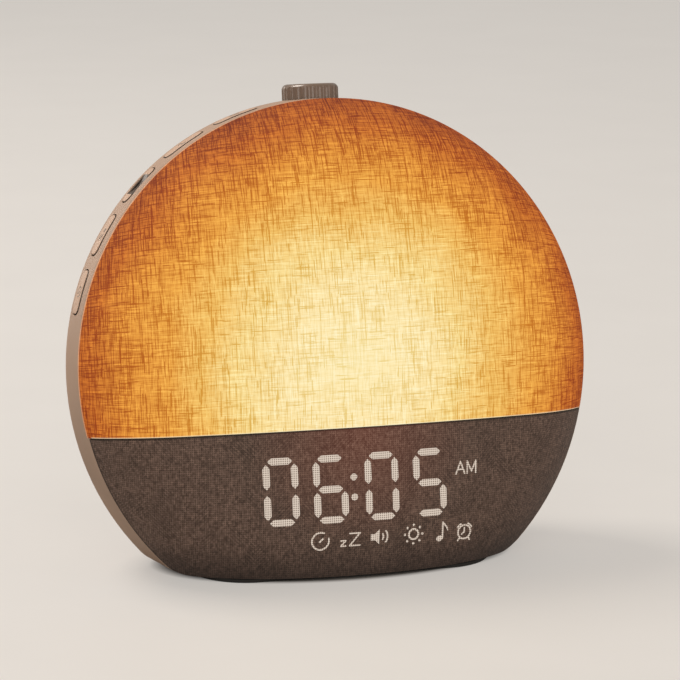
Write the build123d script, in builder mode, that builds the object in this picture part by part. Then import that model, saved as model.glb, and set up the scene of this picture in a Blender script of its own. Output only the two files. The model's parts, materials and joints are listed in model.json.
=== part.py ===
"""Sunrise alarm clock: a leaning, flat-bottomed disc with a lit dome, a cloth-covered display, five side
buttons and a push-and-turn knob. Millimetres, +Z up, the face looks along -Y. The origin is on the table,
straight below the centre of the rim."""

import math
import os

from build123d import *

# ---------------------------------------------------------------- driving dimensions, body
rim_radius = 95.0  # the face's circle, where the cloth ends
lean_angle = 10.0  # the face leans back by this much, degrees
base_drop = 0.739 * rim_radius  # from the rim's centre down to the flat base
base_corner_radius = 12.0  # where the round side runs into the flat base
pad_height = 1.2  # the soft pad lifts the base off the table
rim_slope = 60.0  # the dome's slope where it starts at the rim, degrees
shoulder_radius = 41.0  # the dome's tight outer arc
crown_angle = 14.0  # slope where the tight arc gives way to the flat crown, degrees
division_height = -0.2232 * rim_radius  # the line between linen and cloth, from the rim's centre
cloth_thickness = 0.6
seam_width = 0.3  # the tuck between linen and cloth
panel_wall = 2.2  # diffuser and lower panel
frame_wall = 2.4  # housing frame and back cover
band_depth = 17.5  # straight part of the side band
band_flare = 0.44  # the band grows by this much towards its back edge
tail_radius = 51.0  # arc of the bowl behind the band
tail_slope = 22.0  # the bowl's slope where it leaves the band, degrees
frame_depth = 34.0  # where the frame ends and the back cover starts

# seats between the shells
fit_gap = 0.2  # a spigot or rail in its seat
skirt_depth = 3.0  # the front shells' spigot inside the frame
skirt_wall = 2.0
snap_count = 8
snap_length = 8.0
snap_height = 0.8
snap_width = 1.2
ledge_width = 4.6  # the frame's inner ledge, which carries the reflector
ledge_thickness = 1.8
spigot_depth = 3.0  # the back cover's lip inside the frame
spigot_wall = 1.4
shelf_thickness = 1.6
shelf_tail = 14.0  # the shelf reaches this far behind the rim
shelf_tail_width = 1.705 * rim_radius

# pad under the base
pad_length = 1.179 * rim_radius
pad_width = 54.0
pad_corner_radius = 20.0
pad_edge_radius = 0.4
pad_offset = 1.0  # the pad's middle, behind the rim's centre

# side buttons
button_count = 5
button_first_angle = 108.8  # nearest the knob, degrees round the rim from the right-hand side
button_pitch_angle = 13.2
button_setback = 11.8  # the buttons' middle line, behind the rim
button_spacing = 4.9  # plastic left between two slots, round the rim
slot_length = math.radians(button_pitch_angle) * rim_radius - button_spacing
slot_width = 7.6
slot_corner_radius = 3.0
button_gap = 0.4  # cap in its slot, each side
button_proud = 0.3  # the caps stand this far out of the band
button_edge_radius = 0.5
button_travel = 0.5
flange_overlap = 1.25  # the cap's flange reaches this far under the frame
flange_thickness = 1.7
flange_gap = 0.3  # flange to the frame's inside
stem_radius = 1.6
stem_length = 1.5
dish_length = 10.5  # finger dish of the middle button
dish_depth = 1.2
inlay_length = 9.5
inlay_width = 4.6
inlay_thickness = 0.6

# switches behind the buttons
switch_size = 6.0
switch_height = 3.4
switch_plunger_radius = 1.6
switch_plunger_reach = 0.8  # plunger above the switch
switch_floor = 0.8
running_gap = 0.06  # a shaft or plunger in its hole, radial
strip_thickness = 0.3
bracket_width = 7.0
bracket_thickness = 2.5
bracket_pad_rise = 0.6
bracket_pad_length = 8.0
bracket_boss_width = 6.0
bracket_boss_turn = 8.35  # from the last button to the boss beside it, degrees

# knob and encoder
knob_radius = 10.2
knob_height = 6.5
knob_top = rim_radius + 5.6  # from the rim's centre, along the leaning upright
knob_setback = 18.8  # the knob's axis, behind the rim
knob_edge_radius = 2.0
knob_wall = 2.0
knob_travel = 0.5
end_gap = 0.3  # left under a knob, shaft or plunger that is pressed
flute_count = 28
flute_width = 2.0
flute_depth = 0.3
well_gap = 0.7  # knob to the well's wall
platform_margin = 1.6  # the raised seat's rim outside the well
platform_drop = 9.3  # the seat's skirt, down inside the frame
encoder_size = 12.0
encoder_height = 7.0
encoder_floor = 0.8
neck_radius = 3.5
neck_height = 4.5  # threaded neck above the body
nut_width = 10.0
nut_height = 2.0
shaft_radius = 3.0
shaft_flat = 0.5
shaft_end_cover = 1.0  # plastic left above the shaft's end
rotor_radius = 4.8
rotor_thickness = 1.5
hub_radius = 5.0
encoder_board_size = 19.0
board_thickness = 1.6
board_corner_radius = 2.0

# lamp
reflector_wall = 1.2
reflector_mouth = rim_radius - 9.0
reflector_floor = rim_radius - 33.0
reflector_depth = 12.8
lamp_board_radius = reflector_floor - 4.0
lamp_led_size = 3.0
lamp_led_height = 0.8
lamp_ring_radii = [share * lamp_board_radius for share in (0.21, 0.45, 0.69)]
lamp_ring_counts = (6, 10, 14)
lamp_arc_start = -35.0  # the rings stop short of the shelf, degrees
lamp_arc_range = 250.0
lamp_centre_height = 8.0
lamp_screw_spread = lamp_board_radius - 10.0

# display
digit_height = 22.0  # between the middles of the top and bottom segments
digit_width = 10.1  # between the middles of the side segments
segment_length = 9.2
segment_thickness = 2.8
digit_centres = (-29.8, -11.9, 7.1, 25.4)
colon_place = -3.2
colon_spacing = 7.0
colon_radius = 1.3
half_day_place = 39.6
half_day_width = 11.2
icon_places = (-15.4, -4.8, 6.9, 19.5, 30.1, 39.5)
icon_window = 8.0
icon_corner_radius = 1.0
window_width = 88.0
window_height = 39.0
window_corner_radius = 3.0
window_middle = 3.0
window_level = (division_height - base_drop) / 2 - 1.8
digit_middle = window_level + 5.1
half_day_height = window_level + 9.4
icon_height = window_level - 13.4
display_depth = 10.6  # front of the display board, in front of the rim
display_board_margin = 3.5  # board beyond its posts and its window
display_board_gap = 1.0  # board to the panel's inside
display_led_length = 1.6
display_led_width = 0.8
display_led_height = 0.6
display_post_radius = 3.0
display_post_spread = window_width / 2 + 4.5  # posts either side of the window's middle
display_post_heights = (window_level + 16.5, window_level - 3.5)
insert_gap = 0.1

# main board and what it carries
main_board_width = 92.0
main_board_height = 30.0
main_board_middle = window_level + 4.5
main_board_depth = 28.4
main_post_radius = 3.0
main_post_inset = 8.0
chip_places = ((-12, 3), (-27, 7), (-27, -4), (4, -6))  # from the board's middle
chip_sizes = ((9, 9, 1.0), (5, 6, 1.4), (7, 5, 1.2), (4, 4, 0.9))
capacitor_places = ((-16, -9), (-8, -9))
capacitor_radius = 3.0
capacitor_height = 7.0
cell_radius = 10.0
cell_thickness = 3.2
cell_edge_radius = 0.4
cell_place = main_board_width / 2 - 18.0
holder_wall = 1.4
holder_floor = 0.8
holder_mouth = 10.0  # openings in the holder's wall, to lift the cell out
ribbon_width = 14.0
ribbon_thickness = 0.3
ribbon_place = -15.0
ribbon_socket_height = 1.5
ribbon_socket_depth = 3.0
ribbon_socket_drop = 9.7  # upper socket, below the window's middle
ribbon_socket_margin = 1.0  # socket beyond the ribbon's edges

# power inlet
inlet_height = main_board_middle + 5.0
inlet_width = 8.94
inlet_thickness = 3.26
inlet_depth = 7.35
inlet_wall = 0.3
inlet_floor = 1.0
tongue_setback = 1.0  # the tongue's tip, inside the mouth
tongue_width = 6.7
tongue_thickness = 0.7
inlet_recess = 1.0
inlet_recess_margin = 2.0
inlet_board_width = 20.0
inlet_board_depth = 13.6
inlet_board_thickness = 1.2
rail_width = 4.0
rail_height = 3.2

# loudspeaker and its grille
speaker_height = 0.168 * rim_radius
speaker_radius = 26.0
speaker_gasket = 1.0
speaker_flange = 1.2
speaker_throat = 22.0
speaker_depth = 9.0
speaker_tail_radius = 15.0
speaker_wall = 1.0
basket_window_width = 9.0
speaker_screw_count = 4
speaker_screw_radius = 29.0
speaker_ear_radius = 3.2
speaker_screw_length = 3.2
magnet_radius = 14.0
magnet_thickness = 8.0
cone_radius = 17.5
cone_throat = 7.0
cone_depth = 5.0
cone_wall = 0.5
surround_rise = 1.1  # the roll bulges this far towards the grille
grille_radius = 20.0
grille_slot_width = 1.8
grille_pitch = 3.6

# fasteners
case_screw_radius = rim_radius - 16.5
case_screw_angles = (22.0, 90.0, 158.0, 213.0, 327.0)
case_boss_radius = 3.6
case_boss_length = 12.0
case_seat = 2.2  # plastic under a case screw's head
screw_head_radius = 2.7
screw_head_height = 1.8
screw_shank_radius = 1.4
screw_length = 9.0
screw_gap = 0.3
recess_length = 3.2
recess_width = 0.8
recess_depth = 1.1
small_head_radius = 2.0
small_head_height = 1.4
small_shank_radius = 1.0
small_screw_length = 5.0

# ---------------------------------------------------------------- planes and derived places
lean = math.radians(lean_angle)
forward = Vector(0, -math.cos(lean), math.sin(lean))
upward = Vector(0, math.sin(lean), math.cos(lean))
rim_centre = Vector(0, 0, pad_height + base_drop)
FACE = Plane(origin=rim_centre, x_dir=(1, 0, 0), z_dir=forward)  # x to the right, y up the face
PROFILE = Plane(origin=rim_centre, x_dir=(1, 0, 0), z_dir=-upward)  # x outwards, y forwards
SIDE = Plane(origin=rim_centre, x_dir=forward, z_dir=(-1, 0, 0))  # x forwards, y up the face
LEVEL = Plane(origin=rim_centre, x_dir=(1, 0, 0), z_dir=upward)  # y backwards, z up the face
BASE = Plane.XY.offset(pad_height)
BODY_AXIS = Axis(rim_centre, forward)

shoulder_x = rim_radius - shoulder_radius * math.sin(math.radians(rim_slope))
shoulder_y = -shoulder_radius * math.cos(math.radians(rim_slope))
crown_tilt = math.radians(crown_angle)
crown_radius = shoulder_radius + shoulder_x / math.sin(crown_tilt)
crown_y = shoulder_y - (crown_radius - shoulder_radius) * math.cos(crown_tilt)
tail_x = rim_radius + band_flare - tail_radius * math.cos(math.radians(tail_slope))
tail_y = -band_depth + tail_radius * math.sin(math.radians(tail_slope))
back_face = tail_y - tail_radius  # the flat back, measured forwards from the rim
back_inner = back_face + frame_wall
inner_radius = rim_radius - frame_wall
ledge_front = -(skirt_depth + fit_gap + reflector_wall)
shelf_top = division_height + shelf_thickness / 2
shelf_bottom = division_height - shelf_thickness / 2


def arc_point(centre_x, centre_y, radius, angle):
    """A point on an arc whose angle is measured from straight forwards towards the side, in radians."""
    return (centre_x + radius * math.sin(angle), centre_y + radius * math.cos(angle))


def dome_section(inset):
    """Half section of the solid dome, its skin set in by inset, down to the rim's plane."""
    shoulder = shoulder_radius - inset
    crown = crown_radius - inset
    rim_tilt = math.acos(-shoulder_y / shoulder)
    apex = (0, crown_y + crown)
    crown_middle = arc_point(0, crown_y, crown, crown_tilt / 2)
    join = arc_point(0, crown_y, crown, crown_tilt)
    shoulder_middle = arc_point(shoulder_x, shoulder_y, shoulder, (crown_tilt + rim_tilt) / 2)
    rim = arc_point(shoulder_x, shoulder_y, shoulder, rim_tilt)
    with BuildSketch(PROFILE) as section:
        with BuildLine():
            ThreePointArc(apex, crown_middle, join)
            ThreePointArc(join, shoulder_middle, rim)
            Polyline(rim, (0, 0), apex)
        make_face()
    return section.sketch


def dome_radius_at(depth, inset):
    """The dome's radius at a depth in front of the rim, on its tight outer arc."""
    return shoulder_x + math.sqrt((shoulder_radius - inset) ** 2 - (depth - shoulder_y) ** 2)


def tail_radius_at(depth, inset=0.0):
    """The bowl's radius at a depth behind the rim."""
    return tail_x + math.sqrt((tail_radius - inset) ** 2 - (depth + tail_y) ** 2)


def back_section(inset):
    """Half section of the solid band and bowl behind the rim, its skin set in by inset."""
    arc = tail_radius - inset
    start = (tail_radius_at(band_depth, inset), -band_depth)
    start_tilt = math.acos((start[1] - tail_y) / arc)
    middle = arc_point(tail_x, tail_y, arc, (start_tilt + math.pi) / 2)
    end = (tail_x, tail_y - arc)
    with BuildSketch(PROFILE) as section:
        with BuildLine():
            Polyline((0, end[1]), (0, 0), (rim_radius - inset, 0), start)
            ThreePointArc(start, middle, end)
            Line(end, (0, end[1]))
        make_face()
    return section.sketch


def corner_profile(inset):
    """The rim's circle run into the flat base by rounded corners, open towards the top."""
    circle = rim_radius - inset
    corner = base_corner_radius
    floor = -base_drop / math.cos(lean)
    corner_y = floor + corner
    corner_x = math.sqrt((circle - corner) ** 2 - corner_y**2)
    turn = math.atan2(corner_y, corner_x)
    half = (turn - math.pi / 2) / 2
    touch = (corner_x + corner * math.cos(turn), corner_y + corner * math.sin(turn))
    middle = (corner_x + corner * math.cos(half), corner_y + corner * math.sin(half))
    reach = 4 * rim_radius  # clears the top of the rim
    far = (touch[0] - reach * math.sin(turn), touch[1] + reach * math.cos(turn))
    with BuildSketch(FACE) as profile:
        with BuildLine():
            Line((0, floor), (corner_x, floor))
            ThreePointArc((corner_x, floor), middle, touch)
            Polyline(touch, far, (0, far[1]))
            mirror(about=Plane.YZ)
        make_face()
    return profile.sketch


def button_plane(angle, radius):
    """A plane across the rim at an angle: x runs up round the rim, y forwards, z outwards."""
    turn = math.radians(angle)
    outward = Vector(math.cos(turn), 0, 0) + upward * math.sin(turn)
    along = Vector(-math.sin(turn), 0, 0) + upward * math.cos(turn)
    return Plane(
        origin=rim_centre - forward * button_setback + outward * radius, x_dir=along, z_dir=outward
    )


def face_point(x, y, depth, facing=forward):
    """A plane parallel to the face at a point depth in front of the rim, looking forwards or backwards."""
    return Plane(origin=FACE.from_local_coords(Vector(x, y, depth)), x_dir=(1, 0, 0), z_dir=facing)


def small_screw(seat, length=small_screw_length):
    """A small screw whose head stands on the seat plane and whose shank goes the other way."""
    with BuildPart() as body:
        with BuildSketch(seat):
            Circle(small_head_radius)
        extrude(amount=small_head_height)
        with BuildSketch(seat):
            Circle(small_shank_radius)
        extrude(amount=-length)
    return body.part


def case_screw(seat):
    """A longer screw with a crossed recess in its head."""
    with BuildPart() as body:
        with BuildSketch(seat):
            Circle(screw_head_radius)
        extrude(amount=screw_head_height)
        with BuildSketch(seat.offset(screw_head_height)):
            Rectangle(recess_length, recess_width)
            Rectangle(recess_width, recess_length)
        extrude(amount=-recess_depth, mode=Mode.SUBTRACT)
        with BuildSketch(seat):
            Circle(screw_shank_radius)
        extrude(amount=-screw_length)
    return body.part


def finish(part, name):
    """Labels a piece and writes it."""
    part.label = name
    export_step(part, f"parts/{name}.step")


os.makedirs("parts", exist_ok=True)

# ---------------------------------------------------------------- cloth, diffuser, lower panel, shelf
def dome_volume(inset):
    """The solid dome, set in by inset, on its rounded flat foot."""
    with BuildPart() as volume:
        revolve(dome_section(inset), axis=BODY_AXIS)
        extrude(corner_profile(inset), amount=2 * rim_radius, dir=(0, -1, 0), mode=Mode.INTERSECT)
    return volume.part


def back_volume(inset, base_inset):
    """The solid band and bowl, set in by inset from their skin and by base_inset from the base."""
    with BuildPart() as volume:
        revolve(back_section(inset), axis=BODY_AXIS)
        split(bisect_by=BASE.offset(base_inset), keep=Keep.TOP)
    return volume.part


dome_body = dome_volume(cloth_thickness)

with BuildPart() as dome_core:
    revolve(dome_section(cloth_thickness + panel_wall), axis=BODY_AXIS)

with BuildPart() as cloth_body:
    add(dome_volume(0))
    add(dome_body, mode=Mode.SUBTRACT)

with BuildPart() as linen_cover:
    add(cloth_body.part)
    split(bisect_by=LEVEL.offset(division_height + seam_width / 2), keep=Keep.TOP)
finish(linen_cover.part, "linen_cover")

with BuildPart() as cloth_cover:
    add(cloth_body.part)
    split(bisect_by=LEVEL.offset(division_height - seam_width / 2), keep=Keep.BOTTOM)
finish(cloth_cover.part, "cloth_cover")

with BuildPart() as skirt:
    add(back_volume(frame_wall + fit_gap, frame_wall + fit_gap))
    split(bisect_by=FACE.offset(-skirt_depth), keep=Keep.TOP)
    add(
        back_volume(frame_wall + fit_gap + skirt_wall, frame_wall + fit_gap + skirt_wall),
        mode=Mode.SUBTRACT,
    )


def snap_blocks(growth):
    """The snap lugs on the skirt, or with growth the pockets for them."""
    with BuildPart() as blocks:
        with BuildSketch(FACE.offset(-skirt_depth / 2 + snap_width / 2 + growth)):
            with PolarLocations(inner_radius, snap_count, start_angle=180 / snap_count):
                Rectangle(2 * (snap_height + growth), snap_length + 2 * growth)
        extrude(amount=-snap_width - 2 * growth)
        split(bisect_by=BASE.offset(base_corner_radius), keep=Keep.TOP)
    return blocks.part


with BuildPart() as front_diffuser:
    add(dome_body)
    add(dome_core.part, mode=Mode.SUBTRACT)
    add(skirt.part)
    add(snap_blocks(0))
    split(bisect_by=LEVEL.offset(shelf_top), keep=Keep.TOP)
finish(front_diffuser.part, "front_diffuser")

display_posts = [
    (window_middle + side * display_post_spread, height)
    for side in (-1, 1)
    for height in display_post_heights
]

with BuildPart() as panel_hollow:
    add(dome_core.part)
    split(bisect_by=LEVEL.offset(shelf_bottom - panel_wall), keep=Keep.BOTTOM)
    split(bisect_by=BASE.offset(panel_wall), keep=Keep.TOP)
    with BuildSketch(FACE.offset(display_depth)):
        with Locations(*display_posts):
            Circle(display_post_radius)
    extrude(amount=rim_radius, mode=Mode.SUBTRACT)

with BuildPart() as lower_panel:
    add(dome_body)
    add(panel_hollow.part, mode=Mode.SUBTRACT)
    add(skirt.part)
    add(snap_blocks(0))
    split(bisect_by=LEVEL.offset(shelf_bottom), keep=Keep.BOTTOM)
    with BuildSketch(FACE):
        with Locations((window_middle, window_level)):
            RectangleRounded(window_width, window_height, window_corner_radius)
    extrude(amount=rim_radius, mode=Mode.SUBTRACT)
    with BuildSketch(FACE.offset(display_depth)):
        with Locations(*display_posts):
            Circle(small_shank_radius)
    extrude(amount=small_screw_length, mode=Mode.SUBTRACT)
finish(lower_panel.part, "lower_panel")

with BuildPart() as divider_shelf:
    add(dome_body)
    split(bisect_by=LEVEL.offset(shelf_bottom), keep=Keep.TOP)
    split(bisect_by=LEVEL.offset(shelf_top), keep=Keep.BOTTOM)
    with BuildSketch(LEVEL.offset(shelf_bottom)):
        with Locations((0, shelf_tail / 2)):
            Rectangle(shelf_tail_width, shelf_tail)
    extrude(amount=shelf_thickness)
finish(divider_shelf.part, "divider_shelf")

# ---------------------------------------------------------------- housing frame
platform_radius = knob_radius + well_gap + platform_margin
knob_floor = knob_top - knob_height - knob_travel - end_gap
KNOB = Plane(origin=rim_centre - forward * knob_setback, x_dir=(1, 0, 0), z_dir=upward)
KNOB_AXIS = Axis(KNOB.origin, upward)
button_angles = [button_first_angle + button_pitch_angle * place for place in range(button_count)]
band_radius_at_button = rim_radius + band_flare * button_setback / band_depth
flange_top = inner_radius - flange_gap
flange_bottom = flange_top - flange_thickness
cap_radius = band_radius_at_button + button_proud
plunger_top = flange_bottom - stem_length
switch_top = plunger_top - switch_plunger_reach
switch_bottom = switch_top - switch_height
pad_top = switch_bottom - strip_thickness
bracket_outer = pad_top - bracket_pad_rise
bracket_inner = bracket_outer - bracket_thickness
boss_angles = (
    button_angles[0] - bracket_boss_turn,
    button_angles[-1] + bracket_boss_turn,
)
case_screws = [
    (case_screw_radius * math.cos(math.radians(a)), case_screw_radius * math.sin(math.radians(a)))
    for a in case_screw_angles
]

with BuildPart() as frame_hollow:
    add(back_volume(frame_wall, frame_wall))
    with BuildSketch(FACE.offset(ledge_front)):
        Circle(rim_radius)
        Circle(inner_radius - ledge_width, mode=Mode.SUBTRACT)
    extrude(amount=-ledge_thickness, mode=Mode.SUBTRACT)
    with BuildSketch(FACE.offset(-frame_depth)):
        with Locations(*case_screws):
            Circle(case_boss_radius)
    extrude(amount=case_boss_length, mode=Mode.SUBTRACT)
    for angle in boss_angles:
        with BuildSketch(button_plane(angle, pad_top)):
            Rectangle(bracket_boss_width, bracket_width)
        extrude(amount=rim_radius - pad_top, mode=Mode.SUBTRACT)
    with BuildSketch(KNOB.offset(knob_floor - platform_drop)):
        Circle(platform_radius)
    extrude(amount=rim_radius, mode=Mode.SUBTRACT)
    with BuildSketch(KNOB.offset(knob_floor - platform_drop)):
        Circle(platform_radius - frame_wall)
    extrude(amount=platform_drop - frame_wall)

with BuildPart() as housing_frame:
    add(back_volume(0, 0))
    split(bisect_by=FACE.offset(-frame_depth), keep=Keep.TOP)
    base_face = housing_frame.faces().filter_by(lambda f: abs(f.center().Z - pad_height) < 0.01)[0]
    corner_edges = base_face.edges().filter_by(lambda e: abs(e.center().X) > rim_radius / 4)
    fillet(corner_edges, base_corner_radius)
    with BuildSketch(KNOB.offset(knob_floor - platform_drop)):
        Circle(platform_radius)
    extrude(amount=platform_drop)
    add(frame_hollow.part, mode=Mode.SUBTRACT)
    with BuildSketch(KNOB.offset(knob_floor)):
        Circle(knob_radius + well_gap)
    extrude(amount=knob_height, mode=Mode.SUBTRACT)
    with BuildSketch(KNOB.offset(knob_floor)):
        Circle(neck_radius + running_gap)
    extrude(amount=-frame_wall, mode=Mode.SUBTRACT)
    add(snap_blocks(fit_gap), mode=Mode.SUBTRACT)
    for angle in button_angles:
        with BuildSketch(button_plane(angle, flange_top)):
            RectangleRounded(slot_length, slot_width, slot_corner_radius)
        extrude(amount=rim_radius - flange_top + knob_height, mode=Mode.SUBTRACT)
    for angle in boss_angles:
        with BuildSketch(button_plane(angle, pad_top)):
            Circle(small_shank_radius)
        extrude(amount=small_screw_length, mode=Mode.SUBTRACT)
    with BuildSketch(FACE.offset(-frame_depth)):
        with Locations(*case_screws):
            Circle(screw_shank_radius)
    extrude(amount=screw_length, mode=Mode.SUBTRACT)
finish(housing_frame.part, "housing_frame")

# ---------------------------------------------------------------- back cover and base pad
SPEAKER = face_point(0, speaker_height, back_inner)
speaker_start_angle = 180 / speaker_screw_count
main_posts = [
    (side * (main_board_width / 2 - main_post_inset), main_board_middle + level)
    for side in (-1, 1)
    for level in (main_board_height / 2 - main_post_inset / 2, main_post_inset / 2 - main_board_height / 2)
]
main_back = -main_board_depth - board_thickness
INLET = face_point(0, inlet_height, back_face + inlet_recess)
rail_top = inlet_height - inlet_thickness / 2 - inlet_board_thickness
rail_places = [
    (side * (inlet_board_width - rail_width) / 2, -back_inner - inlet_board_depth / 2) for side in (-1, 1)
]
grille_slots = int(grille_radius // grille_pitch)

with BuildPart() as cover_hollow:
    add(back_volume(frame_wall, frame_wall))
    with BuildSketch(FACE.offset(-frame_depth)):
        with Locations(*case_screws):
            Circle(case_boss_radius)
    extrude(amount=-rim_radius, mode=Mode.SUBTRACT)
    with BuildSketch(FACE.offset(main_back)):
        with Locations(*main_posts):
            Circle(main_post_radius)
    extrude(amount=-rim_radius, mode=Mode.SUBTRACT)
    with BuildSketch(LEVEL.offset(rail_top)):
        with Locations(*rail_places):
            Rectangle(rail_width, inlet_board_depth)
    extrude(amount=-rail_height, mode=Mode.SUBTRACT)

with BuildPart() as spigot:
    add(back_volume(frame_wall + fit_gap, frame_wall + fit_gap))
    split(bisect_by=FACE.offset(spigot_depth - frame_depth), keep=Keep.BOTTOM)
    split(bisect_by=FACE.offset(-frame_depth - frame_wall), keep=Keep.TOP)
    add(
        back_volume(frame_wall + fit_gap + spigot_wall, frame_wall + fit_gap + spigot_wall),
        mode=Mode.SUBTRACT,
    )
    with BuildSketch(FACE.offset(-frame_depth)):
        with Locations(*case_screws):
            Circle(case_boss_radius + fit_gap)
    extrude(amount=spigot_depth, mode=Mode.SUBTRACT)

with BuildPart() as back_cover:
    add(back_volume(0, 0))
    split(bisect_by=FACE.offset(-frame_depth), keep=Keep.BOTTOM)
    base_face = back_cover.faces().filter_by(lambda f: abs(f.center().Z - pad_height) < 0.01)[0]
    fillet(
        base_face.edges().filter_by(lambda e: e.geom_type != GeomType.LINE), base_corner_radius
    )
    add(cover_hollow.part, mode=Mode.SUBTRACT)
    add(spigot.part)
    with BuildSketch(FACE.offset(-frame_depth)):
        with Locations(*case_screws):
            Circle(screw_shank_radius + fit_gap)
    extrude(amount=-rim_radius, mode=Mode.SUBTRACT)
    with BuildSketch(FACE.offset(-frame_depth - case_seat)):
        with Locations(*case_screws):
            Circle(screw_head_radius + screw_gap)
    extrude(amount=-rim_radius, mode=Mode.SUBTRACT)
    for row in range(-grille_slots, grille_slots + 1):
        level = row * grille_pitch
        with BuildSketch(SPEAKER):
            with Locations((0, level)):
                SlotOverall(2 * math.sqrt(grille_radius**2 - level**2), grille_slot_width)
        extrude(amount=-frame_wall, mode=Mode.SUBTRACT)
    with BuildSketch(SPEAKER):
        with PolarLocations(speaker_screw_radius, speaker_screw_count, speaker_start_angle):
            Circle(speaker_ear_radius)
    extrude(amount=speaker_gasket)
    with BuildSketch(SPEAKER.offset(speaker_gasket)):
        with PolarLocations(speaker_screw_radius, speaker_screw_count, speaker_start_angle):
            Circle(small_shank_radius)
    extrude(amount=speaker_flange - speaker_screw_length, mode=Mode.SUBTRACT)
    with BuildSketch(INLET):
        SlotOverall(inlet_width + 2 * fit_gap, inlet_thickness + 2 * fit_gap)
    extrude(amount=frame_wall, mode=Mode.SUBTRACT)
    with BuildSketch(INLET):
        SlotOverall(inlet_width + 2 * inlet_recess_margin, inlet_thickness + 2 * inlet_recess_margin)
    extrude(amount=-frame_wall, mode=Mode.SUBTRACT)
    with BuildSketch(FACE.offset(main_back)):
        with Locations(*main_posts):
            Circle(small_shank_radius)
    extrude(amount=-small_screw_length, mode=Mode.SUBTRACT)
    with BuildSketch(LEVEL.offset(rail_top)):
        with Locations(*rail_places):
            Circle(small_shank_radius)
    extrude(amount=-rail_height, mode=Mode.SUBTRACT)
finish(back_cover.part, "back_cover")

with BuildPart() as base_pad:
    with BuildSketch(Plane.XY):
        with Locations((0, pad_offset)):
            RectangleRounded(pad_length, pad_width, pad_corner_radius)
    extrude(amount=pad_height)
    fillet(base_pad.edges().group_by(Axis.Z)[0], pad_edge_radius)
finish(base_pad.part, "base_pad")

# ---------------------------------------------------------------- lamp
reflector_front = -skirt_depth - fit_gap
reflector_edge = inner_radius - fit_gap
lamp_screws = [
    (-lamp_screw_spread, lamp_centre_height - reflector_wall),
    (lamp_screw_spread, lamp_centre_height - reflector_wall),
    (0, lamp_centre_height + lamp_screw_spread),
]

with BuildPart() as reflector:
    with BuildSketch(PROFILE):
        with BuildLine():
            Polyline(
                (0, -reflector_depth),
                (reflector_floor, -reflector_depth),
                (reflector_mouth, reflector_front),
                (reflector_edge, reflector_front),
                (reflector_edge, ledge_front),
                (reflector_mouth - reflector_wall, ledge_front),
                (reflector_floor - reflector_wall, -reflector_depth - reflector_wall),
                (0, -reflector_depth - reflector_wall),
                close=True,
            )
        make_face()
    revolve(axis=BODY_AXIS)
    split(bisect_by=LEVEL.offset(shelf_top), keep=Keep.TOP)
    with BuildSketch(FACE.offset(-reflector_depth - reflector_wall)):
        with Locations(*lamp_screws):
            Circle(display_post_radius)
    extrude(amount=-small_screw_length)
    with BuildSketch(FACE.offset(-reflector_depth)):
        with Locations(*lamp_screws):
            Circle(small_shank_radius)
    extrude(amount=-small_screw_length, mode=Mode.SUBTRACT)
finish(reflector.part, "reflector")

lamp_front = -reflector_depth + board_thickness
with BuildPart() as lamp_board:
    with BuildSketch(FACE.offset(-reflector_depth)):
        Circle(lamp_board_radius)
        with Locations((0, shelf_top + fit_gap - rim_radius)):
            Rectangle(2 * rim_radius, 2 * rim_radius, mode=Mode.SUBTRACT)
        with Locations(*lamp_screws):
            Circle(small_shank_radius + running_gap, mode=Mode.SUBTRACT)
    extrude(amount=board_thickness)
finish(lamp_board.part, "lamp_board")

with BuildPart() as lamp_leds:
    with BuildSketch(FACE.offset(lamp_front)):
        with Locations((0, lamp_centre_height)):
            Rectangle(lamp_led_size, lamp_led_size)
            for radius, count in zip(lamp_ring_radii, lamp_ring_counts):
                with PolarLocations(radius, count, lamp_arc_start, lamp_arc_range):
                    Rectangle(lamp_led_size, lamp_led_size)
    extrude(amount=lamp_led_height)
finish(lamp_leds.part, "lamp_leds")

with BuildPart() as lamp_board_screws:
    for x, y in lamp_screws:
        add(small_screw(face_point(x, y, lamp_front)))
finish(lamp_board_screws.part, "lamp_board_screws")

# ---------------------------------------------------------------- display
def segment_outline(growth, upright):
    """One pointed segment about the origin, upright or lying."""
    half = segment_length / 2 + growth
    side = segment_thickness / 2 + growth
    shoulder = half - side
    with BuildSketch() as outline:
        Polygon(
            (-half, 0),
            (-shoulder, side),
            (shoulder, side),
            (half, 0),
            (shoulder, -side),
            (-shoulder, -side),
            rotation=90 if upright else 0,
            align=None,
        )
    return outline.sketch


def display_cells(growth):
    """All lit cells of the display, each grown by growth: digits, colon, half-day mark and icons."""
    with BuildSketch(FACE.offset(display_depth)) as cells:
        for centre in digit_centres:
            with Locations(*[(centre, digit_middle + row * digit_height / 2) for row in (-1, 0, 1)]):
                add(segment_outline(growth, upright=False))
            with Locations(*[
                (centre + side * digit_width / 2, digit_middle + row * digit_height / 4)
                for side in (-1, 1) for row in (-1, 1)
            ]):
                add(segment_outline(growth, upright=True))
        with Locations(*[(colon_place, digit_middle + row * colon_spacing / 2) for row in (-1, 1)]):
            Circle(colon_radius + growth)
        with Locations(*[(place, icon_height) for place in icon_places]):
            RectangleRounded(icon_window + 2 * growth, icon_window + 2 * growth, icon_corner_radius)
        with Locations((half_day_place, half_day_height)):
            RectangleRounded(half_day_width + 2 * growth, icon_window + 2 * growth, icon_corner_radius)
    return cells.sketch


with BuildPart() as display_mask:
    with BuildSketch(FACE.offset(display_depth)):
        with Locations((window_middle, window_level)):
            RectangleRounded(window_width - 2 * fit_gap, window_height - 2 * fit_gap,
                             window_corner_radius - fit_gap)
    extrude(amount=rim_radius)
    add(dome_body, mode=Mode.INTERSECT)
    extrude(display_cells(insert_gap), amount=rim_radius, dir=forward, mode=Mode.SUBTRACT)
finish(display_mask.part, "display_mask")

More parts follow.
